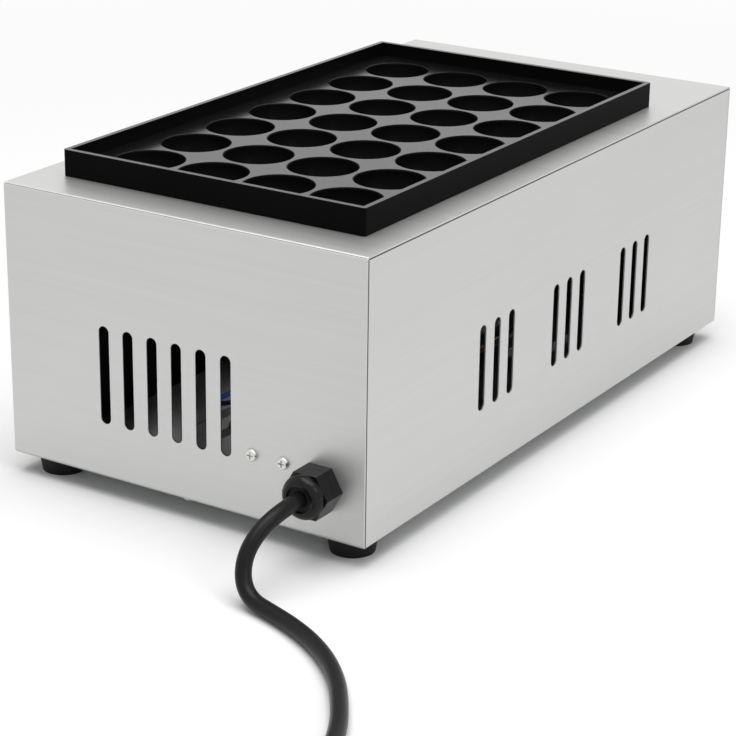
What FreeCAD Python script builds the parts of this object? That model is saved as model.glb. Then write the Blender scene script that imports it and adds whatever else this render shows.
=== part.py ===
import FreeCAD, Part

import math
import os

from FreeCAD import Rotation, Vector

# Countertop takoyaki maker: a folded sheet-steel housing on four rubber feet, with a cast plate of
# 28 round cups on top, two tubular heaters under it, a knob thermostat and two lamps in the front
# wall, and a supply cord that leaves through a gland in the rear wall.
# Millimetres. +Z is up, +Y is the rear wall with the cord, the knob faces -Y.
# The origin is at the bottom centre of everything but the cord, coil and plug.

# Housing
BODY_WIDTH = 240.0
BODY_LENGTH = 440.0
BODY_HEIGHT = 162.0
SHEET = 1.0
BEND_RADIUS = 1.0
FLANGE = 11.0
SEAM = 0.3
FIT = 0.1
SEAT = 0.2

# Feet
FOOT_HEIGHT = 12.0
FOOT_TOP_RADIUS = 14.5
FOOT_BOTTOM_RADIUS = 12.5
FOOT_INSET = 20.0
FOOT_SCREW_RADIUS = 2.5

# Cooking plate
CUP_ROWS = 7
CUP_COLUMNS = 4
CUP_PITCH = 44.0
CUP_RADIUS = 20.0
CUP_WALL = 2.5
CUP_LIP = 0.8
PLATE_WIDTH = 200.0
PLATE_LENGTH = 333.0
PLATE_FLOOR = 5.0
PLATE_FLOOR_ABOVE_TOP = 7.0
RIM_ABOVE_TOP = 15.5
RIM_WALL = 3.0
RIM_CORNER = 1.5
PLATE_REAR_MARGIN = 28.5
CUTOUT_LEDGE = 5.0
CUTOUT_CORNER = 4.0

# Heaters and what holds them
HEATER_RADIUS = 4.0
HEATER_COLD_END = 10.0
INSULATOR_LENGTH = 7.0
TERMINAL_RADIUS = 2.0
TERMINAL_LENGTH = 9.0
CLAMP_WIDTH = 12.0
CLAMP_THICKNESS = 2.0
CLAMP_OVERHANG = 6.0
CARRIER_WIDTH = 10.0
CARRIER_THICKNESS = 1.0
BOSS_RADIUS = 5.0
BULB_RADIUS = 3.0
BULB_LENGTH = 100.0
CAPILLARY_RADIUS = 0.9
STUD_RADIUS = 2.5
STUD_BOSS_RADIUS = 4.2
SHIELD_GAP = 5.0
SHIELD_BELOW_CUPS = 6.0
SHIELD_FLANGE = 9.0

# Slots in the walls
SLOT_WIDTH = 7.0
REAR_SLOTS = 6
REAR_SLOT_LENGTH = 58.0
REAR_SLOT_PITCH = 16.5
REAR_SLOT_CENTRE_X = 10.5
REAR_SLOT_BELOW_TOP = 100.3
SIDE_SLOT_GROUPS = 3
SIDE_SLOTS_PER_GROUP = 3
SIDE_SLOT_LENGTH = 51.0
SIDE_SLOT_PITCH = 16.3
SIDE_GROUP_PITCH = 86.0
SIDE_GROUP_FORWARD = 3.3
SIDE_SLOT_BELOW_TOP = 97.0

# Base plate
BASE_INSET = 3.0
BASE_SCREW_RADIUS = 1.5
BASE_SCREW_END_DISTANCE = 70.0
BASE_VENT_WIDTH = 8.0
BASE_VENT_LENGTH = 60.0
BASE_VENT_PITCH = 18.0
BASE_VENTS = 7
BASE_VENT_REAR_DISTANCE = 110.0
BASE_VENT_ROW_PITCH = 220.0

# Control wall
KNOB_HEIGHT_Z = 92.0
KNOB_RADIUS = 24.0
KNOB_GRIP_RADIUS = 18.0
KNOB_DEPTH = 22.0
KNOB_SKIRT = 5.0
KNOB_GAP = 1.0
KNOB_WALL = 2.5
KNOB_FLUTES = 12
DIAL_RADIUS = 40.0
DIAL_THICKNESS = 0.6
SHAFT_RADIUS = 3.0
SHAFT_CLEARANCE = 0.05
THERMOSTAT_WIDTH = 44.0
THERMOSTAT_HEIGHT = 36.0
THERMOSTAT_DEPTH = 30.0
THERMOSTAT_SCREW_SPACING = 28.0
LAMP_RADIUS = 5.0
LAMP_BEZEL_RADIUS = 7.5
LAMP_BEZEL = 2.0
LAMP_DOME = 3.5
LAMP_DEPTH = 26.0
LAMP_SPACING = 90.0
LAMP_HEIGHT_Z = 143.0

# Rear wall: terminal block screws and cable gland
BLOCK_SCREW_X = -58.2
BLOCK_SCREW_SPACING = 20.4
BLOCK_SCREW_ABOVE_BOTTOM = 37.7
REAR_SCREW_RADIUS = 2.0
REAR_SCREW_HEAD_RADIUS = 4.0
REAR_SCREW_HEAD = 2.2
BLOCK_WIDTH = 34.0
BLOCK_HEIGHT = 20.0
BLOCK_DEPTH = 16.0
BLOCK_STANDOFF = 3.0
GLAND_X = -92.0
GLAND_ABOVE_BOTTOM = 29.5
GLAND_THREAD_RADIUS = 10.0
GLAND_ACROSS_FLATS = 25.0
GLAND_HEX = 6.0
GLAND_CAP_HEX = 9.0
GLAND_DOME = 6.0
GLAND_MOUTH_RADIUS = 7.5
GLAND_INSIDE = 10.0
GLAND_WALL = 2.2
LOCKNUT = 5.0

# Supply cord, coil and plug
CORD_RADIUS = 4.5
CORD_FIT = 0.2
LEAD_INSIDE = 26.0
CORE_RADIUS = 1.4
COIL_LOOPS_IN = 3
COIL_LOOPS_OUT = 2
COIL_RADIUS = 64.0
COIL_PITCH = 11.6
COIL_LAYER = 9.9
PLUG_RADIUS = 18.5
PLUG_LENGTH = 34.0
PLUG_RELIEF = 26.0
PIN_RADIUS = 2.4
PIN_LENGTH = 19.0
PIN_SPACING = 19.0

# Fasteners
HEAD_RATIO = 1.8
NUT_RATIO = 1.75
WASHER = 1.0
HOLE_CLEARANCE = 0.2

# Places worked out from the sizes above
FRONT_OVERHANG = DIAL_THICKNESS + KNOB_GAP + KNOB_DEPTH
GLAND_OUT = GLAND_HEX + GLAND_CAP_HEX + GLAND_DOME
BODY_SHIFT = (FRONT_OVERHANG - GLAND_OUT) / 2
REAR = BODY_LENGTH / 2 + BODY_SHIFT
FRONT = -BODY_LENGTH / 2 + BODY_SHIFT
SIDE = BODY_WIDTH / 2
BOTTOM = FOOT_HEIGHT
TOP = BOTTOM + BODY_HEIGHT
UNDER_TOP = TOP - SHEET
PLATE_Y = REAR - PLATE_REAR_MARGIN - PLATE_LENGTH / 2
FLOOR = TOP + PLATE_FLOOR_ABOVE_TOP
SLAB_BOTTOM = FLOOR - PLATE_FLOOR
RIM_TOP = TOP + RIM_ABOVE_TOP
CUP_OUTER = CUP_RADIUS + CUP_WALL
HALF_PITCH = CUP_PITCH / 2
FIELD_X = (CUP_COLUMNS - 1) * HALF_PITCH
FIELD_Y = (CUP_ROWS - 1) * HALF_PITCH
CUTOUT_X = PLATE_WIDTH / 2 - CUTOUT_LEDGE
CUTOUT_Y = PLATE_LENGTH / 2 - CUTOUT_LEDGE
HEATER_Z = FLOOR - math.sqrt((CUP_OUTER + HEATER_RADIUS + SEAT) ** 2 - HALF_PITCH ** 2)
INNER_LEG_X = CUP_PITCH
OUTER_LEG_X = FIELD_X + HALF_PITCH
INNER_END_Y = PLATE_Y + FIELD_Y - HALF_PITCH
OUTER_END_Y = PLATE_Y + FIELD_Y + HALF_PITCH
CLAMP_TOP = HEATER_Z - HEATER_RADIUS - SEAT
CARRIER_TOP = CLAMP_TOP + CARRIER_THICKNESS + FIT
CLAMP_Y = 1.5 * CUP_PITCH
CLAMP_HALF = OUTER_LEG_X + CLAMP_OVERHANG
BULB_Z = CARRIER_TOP + BULB_RADIUS + FIT
SHIELD_HALF_X = OUTER_LEG_X + HEATER_RADIUS + SHIELD_GAP
SHIELD_HALF_Y = FIELD_Y + HALF_PITCH + HEATER_RADIUS + SHIELD_GAP
SHIELD_BOTTOM = FLOOR - CUP_OUTER - SHIELD_BELOW_CUPS
SHIELD_FRONT = PLATE_Y - SHIELD_HALF_Y
REAR_STUD_X = OUTER_LEG_X + 1.0
FRONT_STUD_X = FIELD_X
STUD_Y = FIELD_Y + CUP_OUTER + 1.0
HEATER_END = SHIELD_FRONT - HEATER_COLD_END
GLAND_Z = BOTTOM + GLAND_ABOVE_BOTTOM
GLAND_BORE = CORD_RADIUS + CORD_FIT
GLAND_FACE = REAR + GLAND_OUT
BLOCK_Z = BOTTOM + BLOCK_SCREW_ABOVE_BOTTOM
REAR_INSIDE = REAR - SHEET
FRONT_INSIDE = FRONT + SHEET
CORD_ON_FLOOR = CORD_RADIUS + 0.1

# The free cord from the gland to its coil: out of the gland, down to the table and away from the
# rear wall. The points are chosen by hand, and a coil of the length that is left lies at the end.
COIL_ENTRY = Vector(-172.0, 502.9, CORD_ON_FLOOR)
COIL_HEADING = Vector(0.831, 0.556, 0).normalize()
LAST_RUN = 24.0
CORD_ROUTE = [
    Vector(GLAND_X, GLAND_FACE, GLAND_Z),
    Vector(GLAND_X, GLAND_FACE + 15.0, GLAND_Z),
    Vector(-88.0, 273.0, 34.0),
    Vector(-86.5, 283.0, 23.5),
    Vector(-89.5, 289.0, 12.5),
    Vector(-97.5, 292.5, 5.6),
    Vector(-112.0, 296.0, CORD_ON_FLOOR),
    Vector(-130.0, 302.5, CORD_ON_FLOOR),
    Vector(-148.0, 311.5, CORD_ON_FLOOR),
    Vector(-166.0, 324.5, CORD_ON_FLOOR),
    Vector(-181.0, 340.0, CORD_ON_FLOOR),
    Vector(-193.0, 356.5, CORD_ON_FLOOR),
    Vector(-204.0, 374.0, CORD_ON_FLOOR),
    Vector(-212.0, 392.0, CORD_ON_FLOOR),
    Vector(-217.5, 411.0, CORD_ON_FLOOR),
    Vector(-220.0, 430.0, CORD_ON_FLOOR),
    Vector(-218.5, 447.5, CORD_ON_FLOOR),
    Vector(-212.5, 464.5, CORD_ON_FLOOR),
    COIL_ENTRY - COIL_HEADING * (LAST_RUN + 2 * CORD_RADIUS),
    COIL_ENTRY - COIL_HEADING * (2 * CORD_RADIUS),
]

X_AXIS = Vector(1, 0, 0)
Y_AXIS = Vector(0, 1, 0)
Z_AXIS = Vector(0, 0, 1)


def block(low, high):
    """A box between two opposite corners."""
    size = [b - a for a, b in zip(low, high)]
    return Part.makeBox(size[0], size[1], size[2], Vector(*low))


def rod(radius, length, start, direction=Z_AXIS):
    """A round bar that starts at a point and runs along a direction."""
    return Part.makeCylinder(radius, length, start, direction)


def hexagon(across_flats, length, start, direction=Z_AXIS):
    """A hexagonal bar along a direction."""
    radius = across_flats / math.sqrt(3)
    points = []
    for k in range(7):
        angle = math.radians(60 * k)
        points.append(Vector(radius * math.cos(angle), radius * math.sin(angle), 0))
    bar = Part.Face(Part.makePolygon(points)).extrude(Vector(0, 0, length))
    bar.Placement = FreeCAD.Placement(start, Rotation(Z_AXIS, direction))
    return bar


def nut(bolt_radius, length, start, direction=Z_AXIS):
    """A hexagon nut with its bolt's hole."""
    body = hexagon(2 * NUT_RATIO * bolt_radius, length, start, direction)
    return body.cut(rod(bolt_radius + FIT, length, start, direction))


def pan_screw(radius, length, seat, direction):
    """A cross-head screw: its head stands on the seat against the direction of the shank."""
    head_radius = HEAD_RATIO * radius
    head_height = 1.1 * radius
    head = rod(head_radius, head_height, seat - direction * head_height, direction)
    top_edges = []
    for edge in head.Edges:
        centre = edge.CenterOfMass - (seat - direction * head_height)
        if centre.Length < 0.01 and len(edge.Vertexes) == 1:
            top_edges.append(edge)
    head = head.makeFillet(0.6 * head_height, top_edges)
    screw = head.fuse(rod(radius, length, seat, direction))
    across = direction.cross(Z_AXIS)
    if across.Length < 0.5:
        across = X_AXIS
    other = direction.cross(across)
    depth = 0.6 * head_height
    for along, width in ((across, other), (other, across)):
        corner = seat - direction * (head_height + 1.0) - along * radius - width * (0.2 * radius)
        face = Part.Face(Part.makePolygon([
            corner,
            corner + along * (2 * radius),
            corner + along * (2 * radius) + width * (0.4 * radius),
            corner + width * (0.4 * radius),
            corner,
        ]))
        screw = screw.cut(face.extrude(direction * (depth + 1.0)))
    return screw


def slot_tool(width, length, centre, through):
    """An upright slot with round ends, as a cutter that runs half its depth to each side."""
    axis = Vector(through).normalize()
    across = axis.cross(Z_AXIS)
    straight = (length - width) / 2
    start = centre - through * 0.5
    cutter = None
    for sign in (-1, 1):
        end = rod(width / 2, through.Length, start + Z_AXIS * (sign * straight), axis)
        cutter = end if cutter is None else cutter.fuse(end)
    corner = start - across * (width / 2) - Z_AXIS * straight
    face = Part.Face(Part.makePolygon([
        corner,
        corner + across * width,
        corner + across * width + Z_AXIS * (2 * straight),
        corner + Z_AXIS * (2 * straight),
        corner,
    ]))
    return cutter.fuse(face.extrude(through))


def rounded_block(low, high, radius, picked):
    """A box whose edges that pass the test are rounded."""
    solid = block(low, high)
    return solid.makeFillet(radius, [e for e in solid.Edges if picked(e)])


def bend_path(points, label=None):
    """Straight runs joined by arcs as large as the runs allow. Returns the wire and its radii."""
    edges = []
    radii = []
    here = points[0]
    for k in range(1, len(points) - 1):
        before, corner, after = points[k - 1], points[k], points[k + 1]
        into = (corner - before).normalize()
        out = (after - corner).normalize()
        turn = into.getAngle(out)
        reach = 0.45 * min((corner - before).Length, (after - corner).Length)
        radius = reach / math.tan(turn / 2)
        start = corner - into * reach
        end = corner + out * reach
        inward = (out - into).normalize()
        centre = corner + inward * (reach / math.sin(turn / 2))
        middle = centre - inward * radius
        edges.append(Part.LineSegment(here, start).toShape())
        edges.append(Part.Arc(start, middle, end).toShape())
        radii.append(radius)
        here = end
    edges.append(Part.LineSegment(here, points[-1]).toShape())
    if label:
        print(label, "bend radii", " ".join(f"{r:.1f}" for r in radii))
    return Part.Wire(edges)


def tube_along(wire, radius):
    """A round solid swept along a wire."""
    start = wire.Edges[0].valueAt(wire.Edges[0].FirstParameter)
    heading = wire.Edges[0].tangentAt(wire.Edges[0].FirstParameter)
    section = Part.Wire([Part.makeCircle(radius, start, heading)])
    return wire.makePipeShell([section], True, False)


def routed_tube(points, radius, label=None):
    """A round solid along straight runs and arcs."""
    return tube_along(bend_path(points, label), radius)


def cup_centres():
    """The middle of each cup at the plate's floor."""
    centres = []
    for column in range(CUP_COLUMNS):
        for row in range(CUP_ROWS):
            x = column * CUP_PITCH - FIELD_X
            y = PLATE_Y + row * CUP_PITCH - FIELD_Y
            centres.append(Vector(x, y, FLOOR))
    return centres


def side_slot_centres():
    """Distances along Y of every slot in a side panel."""
    middle = (FRONT + REAR) / 2 - SIDE_GROUP_FORWARD
    places = []
    for group in range(SIDE_SLOT_GROUPS):
        for slot in range(SIDE_SLOTS_PER_GROUP):
            group_y = (group - (SIDE_SLOT_GROUPS - 1) / 2) * SIDE_GROUP_PITCH
            slot_y = (slot - (SIDE_SLOTS_PER_GROUP - 1) / 2) * SIDE_SLOT_PITCH
            places.append(middle + group_y + slot_y)
    return places


def rear_slot_centres():
    """Places along X of the rear wall's slots."""
    places = []
    for k in range(REAR_SLOTS):
        places.append(REAR_SLOT_CENTRE_X + (k - (REAR_SLOTS - 1) / 2) * REAR_SLOT_PITCH)
    return places


def block_screw_places():
    """The two screws of the terminal block, on the rear wall's outer face."""
    half = BLOCK_SCREW_SPACING / 2
    return [Vector(BLOCK_SCREW_X + side * half, REAR, BLOCK_Z) for side in (-1, 1)]


def foot_places():
    """The centre of each foot on the table, with its name."""
    x = SIDE - FOOT_INSET
    front = FRONT + FOOT_INSET
    rear = REAR - FOOT_INSET
    return {
        "foot_front_left": Vector(-x, front, 0),
        "foot_front_right": Vector(x, front, 0),
        "foot_rear_left": Vector(-x, rear, 0),
        "foot_rear_right": Vector(x, rear, 0),
    }


def base_screw_places():
    """Screws that hold the base plate to the bottom flanges."""
    x = SIDE - SHEET - FLANGE / 2
    middle = (FRONT + REAR) / 2
    reach = BODY_LENGTH / 2 - BASE_SCREW_END_DISTANCE
    places = [Vector(side * x, middle + k * reach, BOTTOM - SHEET) for side in (-1, 1) for k in (-1, 0, 1)]
    for wall, inward in ((FRONT, 1), (REAR, -1)):
        places.append(Vector(0, wall + inward * (SHEET + FLANGE / 2), BOTTOM - SHEET))
    return places


def stud_places():
    """The corner studs of the cooking plate."""
    places = []
    for side in (-1, 1):
        places.append((side * FRONT_STUD_X, PLATE_Y - STUD_Y))
        places.append((side * REAR_STUD_X, PLATE_Y + STUD_Y))
    return places


def clamp_places():
    """The two heater clamps, along Y."""
    return [PLATE_Y - CLAMP_Y, PLATE_Y + CLAMP_Y]


def lamp_places():
    """The two lamps in the front wall, with their names."""
    half = LAMP_SPACING / 2
    return {
        "power_lamp": Vector(-half, FRONT, LAMP_HEIGHT_Z),
        "heating_lamp": Vector(half, FRONT, LAMP_HEIGHT_Z),
    }


def make_body_cover():
    """Top, front and rear wall folded from one sheet, with bottom flanges and all their holes."""
    half = SIDE - SEAM
    outer_bend = BEND_RADIUS + SHEET

    def along_x(edge):
        return abs(edge.tangentAt(edge.FirstParameter).x) > 0.99

    outside = rounded_block((-half, FRONT, BOTTOM), (half, REAR, TOP), outer_bend, along_x)
    inner_low = (-half - 1, FRONT + SHEET, BOTTOM + SHEET)
    inner_high = (half + 1, REAR - SHEET, TOP - SHEET)
    cover = outside.cut(rounded_block(inner_low, inner_high, BEND_RADIUS, along_x))
    open_bottom = block(
        (-half - 1, FRONT + SHEET + FLANGE, BOTTOM - 1),
        (half + 1, REAR - SHEET - FLANGE, BOTTOM + SHEET + 1),
    )
    cover = cover.cut(open_bottom)
    relief = SIDE - SHEET - FLANGE - 2 * FIT
    for side in (-1, 1):
        low_x, high_x = sorted((side * relief, side * (half + 1)))
        for y0, y1 in ((FRONT + SHEET, FRONT + SHEET + FLANGE + 1), (REAR - SHEET - FLANGE - 1, REAR - SHEET)):
            cover = cover.cut(block((low_x, y0, BOTTOM - 1), (high_x, y1, BOTTOM + SHEET + 2)))

    def upright(edge):
        return abs(edge.tangentAt(edge.FirstParameter).z) > 0.99

    opening = rounded_block(
        (-CUTOUT_X, PLATE_Y - CUTOUT_Y, TOP - 2 * SHEET),
        (CUTOUT_X, PLATE_Y + CUTOUT_Y, TOP + SHEET),
        CUTOUT_CORNER,
        upright,
    )
    cover = cover.cut(opening)
    through = Vector(0, 6 * SHEET, 0)
    for x in rear_slot_centres():
        centre = Vector(x, REAR - SHEET / 2, TOP - REAR_SLOT_BELOW_TOP)
        cover = cover.cut(slot_tool(SLOT_WIDTH, REAR_SLOT_LENGTH, centre, through))
    for seat in block_screw_places():
        cover = cover.cut(rod(REAR_SCREW_RADIUS + HOLE_CLEARANCE, 8 * SHEET, seat + Y_AXIS * 2, -Y_AXIS))
    gland = Vector(GLAND_X, REAR + 2, GLAND_Z)
    cover = cover.cut(rod(GLAND_THREAD_RADIUS + HOLE_CLEARANCE, 8 * SHEET, gland, -Y_AXIS))
    for place in lamp_places().values():
        cover = cover.cut(rod(LAMP_RADIUS + HOLE_CLEARANCE, 8 * SHEET, place - Y_AXIS * 2, Y_AXIS))
    shaft = Vector(0, FRONT - 2, KNOB_HEIGHT_Z)
    cover = cover.cut(rod(SHAFT_RADIUS + 1.5, 8 * SHEET, shaft, Y_AXIS))
    for side in (-1, 1):
        screw = shaft + X_AXIS * (side * THERMOSTAT_SCREW_SPACING / 2)
        cover = cover.cut(rod(REAR_SCREW_RADIUS + HOLE_CLEARANCE, 8 * SHEET, screw, Y_AXIS))
    for place in base_screw_places():
        if abs(place.x) < 1:
            cover = cover.cut(rod(BASE_SCREW_RADIUS + HOLE_CLEARANCE, 4 * SHEET, place, Z_AXIS))
    return cover


def make_side_panel(side):
    """A tray whose four flanges turn inward under the cover, with its louvre slots."""
    face = side * SIDE
    low_x, high_x = sorted((face, face - side * (SHEET + FLANGE)))
    inset = SHEET + FIT
    low = (low_x, FRONT + inset, BOTTOM)
    high = (high_x, REAR - inset, TOP - inset)

    def along_x(edge):
        return abs(edge.tangentAt(edge.FirstParameter).x) > 0.99

    def on_face(edge):
        return abs(edge.CenterOfMass.x - face) < 0.01

    panel = rounded_block(low, high, BEND_RADIUS + 2 * FIT, along_x)
    panel = panel.makeFillet(BEND_RADIUS, [e for e in panel.Edges if on_face(e)])
    inner_face = face - side * SHEET
    cut_low_x, cut_high_x = sorted((inner_face, face - side * (SHEET + FLANGE + 1)))
    hollow_low = (cut_low_x, low[1] + SHEET, low[2] + SHEET)
    hollow_high = (cut_high_x, high[1] - SHEET, high[2] - SHEET)

    def on_inner_face(edge):
        return abs(edge.CenterOfMass.x - inner_face) < 0.01

    panel = panel.cut(rounded_block(hollow_low, hollow_high, BEND_RADIUS / 2, on_inner_face))
    notch = 3.0 * SHEET
    start = face - side * (BEND_RADIUS + SHEET)
    notch_low_x, notch_high_x = sorted((start, face - side * (FLANGE + 2 * SHEET)))
    for y0, y1 in ((low[1] - 1, low[1] + notch), (high[1] - notch, high[1] + 1)):
        for z0, z1 in ((low[2] - 1, low[2] + notch), (high[2] - notch, high[2] + 1)):
            panel = panel.cut(block((notch_low_x, y0, z0), (notch_high_x, y1, z1)))
    for y in side_slot_centres():
        centre = Vector(face - side * SHEET / 2, y, TOP - SIDE_SLOT_BELOW_TOP)
        panel = panel.cut(slot_tool(SLOT_WIDTH, SIDE_SLOT_LENGTH, centre, Vector(6 * SHEET, 0, 0)))
    for place in base_screw_places():
        if place.x * side > 1:
            panel = panel.cut(rod(BASE_SCREW_RADIUS + HOLE_CLEARANCE, 4 * SHEET, place, Z_AXIS))
    return panel


def make_base_plate():
    """Flat floor plate under the flanges, with two rows of vent slots and its screw holes."""
    x = SIDE - BASE_INSET
    plate = block((-x, FRONT + BASE_INSET, BOTTOM - SHEET), (x, REAR - BASE_INSET, BOTTOM))
    cutters = []
    for row in range(2):
        y = REAR - BASE_VENT_REAR_DISTANCE - row * BASE_VENT_ROW_PITCH
        for k in range(BASE_VENTS):
            vent_x = (k - (BASE_VENTS - 1) / 2) * BASE_VENT_PITCH
            low = (vent_x - BASE_VENT_WIDTH / 2, y - BASE_VENT_LENGTH / 2, BOTTOM - 2 * SHEET)
            high = (vent_x + BASE_VENT_WIDTH / 2, y + BASE_VENT_LENGTH / 2, BOTTOM + SHEET)
            cutters.append(block(low, high))
    for place in base_screw_places():
        cutters.append(rod(BASE_SCREW_RADIUS + HOLE_CLEARANCE, 4 * SHEET, place - Z_AXIS, Z_AXIS))
    for place in foot_places().values():
        start = Vector(place.x, place.y, BOTTOM - 2 * SHEET)
        cutters.append(rod(FOOT_SCREW_RADIUS + HOLE_CLEARANCE, 4 * SHEET, start, Z_AXIS))
    for cutter in cutters:
        plate = plate.cut(cutter)
    return plate


def make_base_screws():
    """Screws up through the base plate into the bottom flanges."""
    length = 2 * SHEET + 3.0
    return [pan_screw(BASE_SCREW_RADIUS, length, place, Z_AXIS) for place in base_screw_places()]


def foot_top():
    """Height of the underside of the base plate."""
    return BOTTOM - SHEET


def make_foot(place):
    """Round rubber foot, narrower at the table, with a recess for its screw."""
    height = foot_top() - FIT
    foot = Part.makeCone(FOOT_BOTTOM_RADIUS, FOOT_TOP_RADIUS, height, place, Z_AXIS)
    recess = rod(HEAD_RATIO * FOOT_SCREW_RADIUS + 1.0, 0.55 * height, place, Z_AXIS)
    bore = rod(FOOT_SCREW_RADIUS + HOLE_CLEARANCE, height, place, Z_AXIS)
    return foot.cut(recess).cut(bore)


def make_foot_screws():
    """Screws in the feet's recesses."""
    seat_height = 0.55 * (foot_top() - FIT)
    length = foot_top() - seat_height + SHEET + WASHER + 5.5
    seats = [place + Z_AXIS * seat_height for place in foot_places().values()]
    return [pan_screw(FOOT_SCREW_RADIUS, length, seat, Z_AXIS) for seat in seats]


def make_foot_washers():
    """Washers on the base plate, under the nuts of the feet."""
    washers = []
    for place in foot_places().values():
        start = Vector(place.x, place.y, BOTTOM)
        ring = rod(2 * FOOT_SCREW_RADIUS, WASHER, start, Z_AXIS)
        washers.append(ring.cut(rod(FOOT_SCREW_RADIUS + FIT, WASHER, start, Z_AXIS)))
    return washers


def make_foot_nuts():
    """Nuts that hold the feet, inside the housing."""
    height = BOTTOM + WASHER
    places = [Vector(p.x, p.y, height) for p in foot_places().values()]
    return [nut(FOOT_SCREW_RADIUS, 4.0, place) for place in places]


def cup_tool():
    """Cutter for one cup: half a ball whose mouth opens over a small round lip."""
    lip = CUP_LIP
    depth = lip
    reach = math.sqrt((CUP_RADIUS + lip) ** 2 - depth ** 2)
    touch = CUP_RADIUS / (CUP_RADIUS + lip)
    edge = Vector(reach * touch, 0, -depth * touch)
    quarter = Vector(CUP_RADIUS * math.sin(0.7), 0, -CUP_RADIUS * math.cos(0.7))
    angle = math.atan2(depth, reach)
    swing = (math.pi / 2 + math.pi - angle) / 2
    middle = Vector(reach + lip * math.cos(swing), 0, -depth + lip * math.sin(swing))
    profile = Part.Wire([
        Part.LineSegment(Vector(0, 0, 2), Vector(0, 0, -CUP_RADIUS)).toShape(),
        Part.Arc(Vector(0, 0, -CUP_RADIUS), quarter, edge).toShape(),
        Part.Arc(edge, middle, Vector(reach, 0, 0)).toShape(),
        Part.LineSegment(Vector(reach, 0, 0), Vector(reach, 0, 2)).toShape(),
        Part.LineSegment(Vector(reach, 0, 2), Vector(0, 0, 2)).toShape(),
    ])
    return Part.Face(profile).revolve(Vector(0, 0, 0), Z_AXIS, 360)


def make_mould_plate():
    """Cast plate: a rim that stands on the housing, a floor and 28 half-round cups."""

    def upright(edge):
        return abs(edge.tangentAt(edge.FirstParameter).z) > 0.99

    half_x, half_y = PLATE_WIDTH / 2, PLATE_LENGTH / 2
    low = (-half_x, PLATE_Y - half_y, TOP + SEAT)
    high = (half_x, PLATE_Y + half_y, RIM_TOP)
    plate = rounded_block(low, high, RIM_CORNER, upright)
    inner_x, inner_y = half_x - RIM_WALL, half_y - RIM_WALL
    tray = block((-inner_x, PLATE_Y - inner_y, FLOOR), (inner_x, PLATE_Y + inner_y, RIM_TOP + 1))
    under = block(
        (-inner_x, PLATE_Y - inner_y, TOP - 1),
        (inner_x, PLATE_Y + inner_y, SLAB_BOTTOM),
    )
    plate = plate.cut(tray).cut(under)
    additions = []
    for centre in cup_centres():
        ball = Part.makeSphere(CUP_OUTER, centre, Z_AXIS, -90, 0, 360)
        additions.append(ball)
    for y in clamp_places():
        additions.append(rod(BOSS_RADIUS, SLAB_BOTTOM - CARRIER_TOP + 1, Vector(0, y, CARRIER_TOP), Z_AXIS))
    for x, y in stud_places():
        start = Vector(x, y, HEATER_Z)
        additions.append(rod(STUD_BOSS_RADIUS, SLAB_BOTTOM - HEATER_Z + 1, start, Z_AXIS))
    plate = plate.multiFuse(additions)
    cutter = cup_tool()
    cutters = []
    for centre in cup_centres():
        copy = cutter.copy()
        copy.translate(centre)
        cutters.append(copy)
    plate = plate.cut(Part.makeCompound(cutters))
    for y in clamp_places():
        plate = plate.cut(rod(STUD_RADIUS - 0.5 + FIT, 9.0, Vector(0, y, CARRIER_TOP - 1), Z_AXIS))
    for x, y in stud_places():
        plate = plate.cut(rod(STUD_RADIUS + FIT, 9.0, Vector(x, y, HEATER_Z - 1), Z_AXIS))
    return plate


def make_plate_studs():
    """Studs from the plate's corner bosses down through the heat shield."""
    low = SHIELD_BOTTOM - SHEET - WASHER - 7.0
    high = HEATER_Z + 7.5
    return [rod(STUD_RADIUS, high - low, Vector(x, y, low), Z_AXIS) for x, y in stud_places()]


def make_plate_washers():
    """Washers under the heat shield."""
    height = SHIELD_BOTTOM - SHEET - WASHER
    washers = []
    for x, y in stud_places():
        ring = rod(2 * STUD_RADIUS, WASHER, Vector(x, y, height), Z_AXIS)
        washers.append(ring.cut(rod(STUD_RADIUS + FIT, WASHER, Vector(x, y, height), Z_AXIS)))
    return washers


def make_plate_nuts():
    """Nuts that draw the plate and the heat shield together."""
    height = SHIELD_BOTTOM - SHEET - WASHER - 4.0
    return [nut(STUD_RADIUS, 4.0, Vector(x, y, height)) for x, y in stud_places()]


def make_heater(leg_x, end_y):
    """One U-shaped tubular heater that runs in the valleys between the cups."""
    points = [
        Vector(-leg_x, HEATER_END, HEATER_Z),
        Vector(-leg_x, end_y, HEATER_Z),
        Vector(leg_x, end_y, HEATER_Z),
        Vector(leg_x, HEATER_END, HEATER_Z),
    ]
    edges = []
    here = points[0]
    for before, corner, after in zip(points, points[1:], points[2:]):
        into = (corner - before).normalize()
        out = (after - corner).normalize()
        start = corner - into * HALF_PITCH
        end = corner + out * HALF_PITCH
        centre = corner - into * HALF_PITCH + out * HALF_PITCH
        middle = centre + (into - out).normalize() * HALF_PITCH
        edges.append(Part.LineSegment(here, start).toShape())
        edges.append(Part.Arc(start, middle, end).toShape())
        here = end
    edges.append(Part.LineSegment(here, points[-1]).toShape())
    return tube_along(Part.Wire(edges), HEATER_RADIUS)


def heater_end_places():
    """The four ends of the heaters, in order from -X to +X."""
    places = (-OUTER_LEG_X, -INNER_LEG_X, INNER_LEG_X, OUTER_LEG_X)
    return [Vector(x, HEATER_END, HEATER_Z) for x in places]


def make_heater_insulators():
    """Ceramic collars at the heaters' cold ends."""
    collars = []
    for place in heater_end_places():
        collar = rod(0.8 * HEATER_RADIUS, INSULATOR_LENGTH, place, -Y_AXIS)
        collars.append(collar.cut(rod(TERMINAL_RADIUS, INSULATOR_LENGTH, place, -Y_AXIS)))
    return collars


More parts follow.
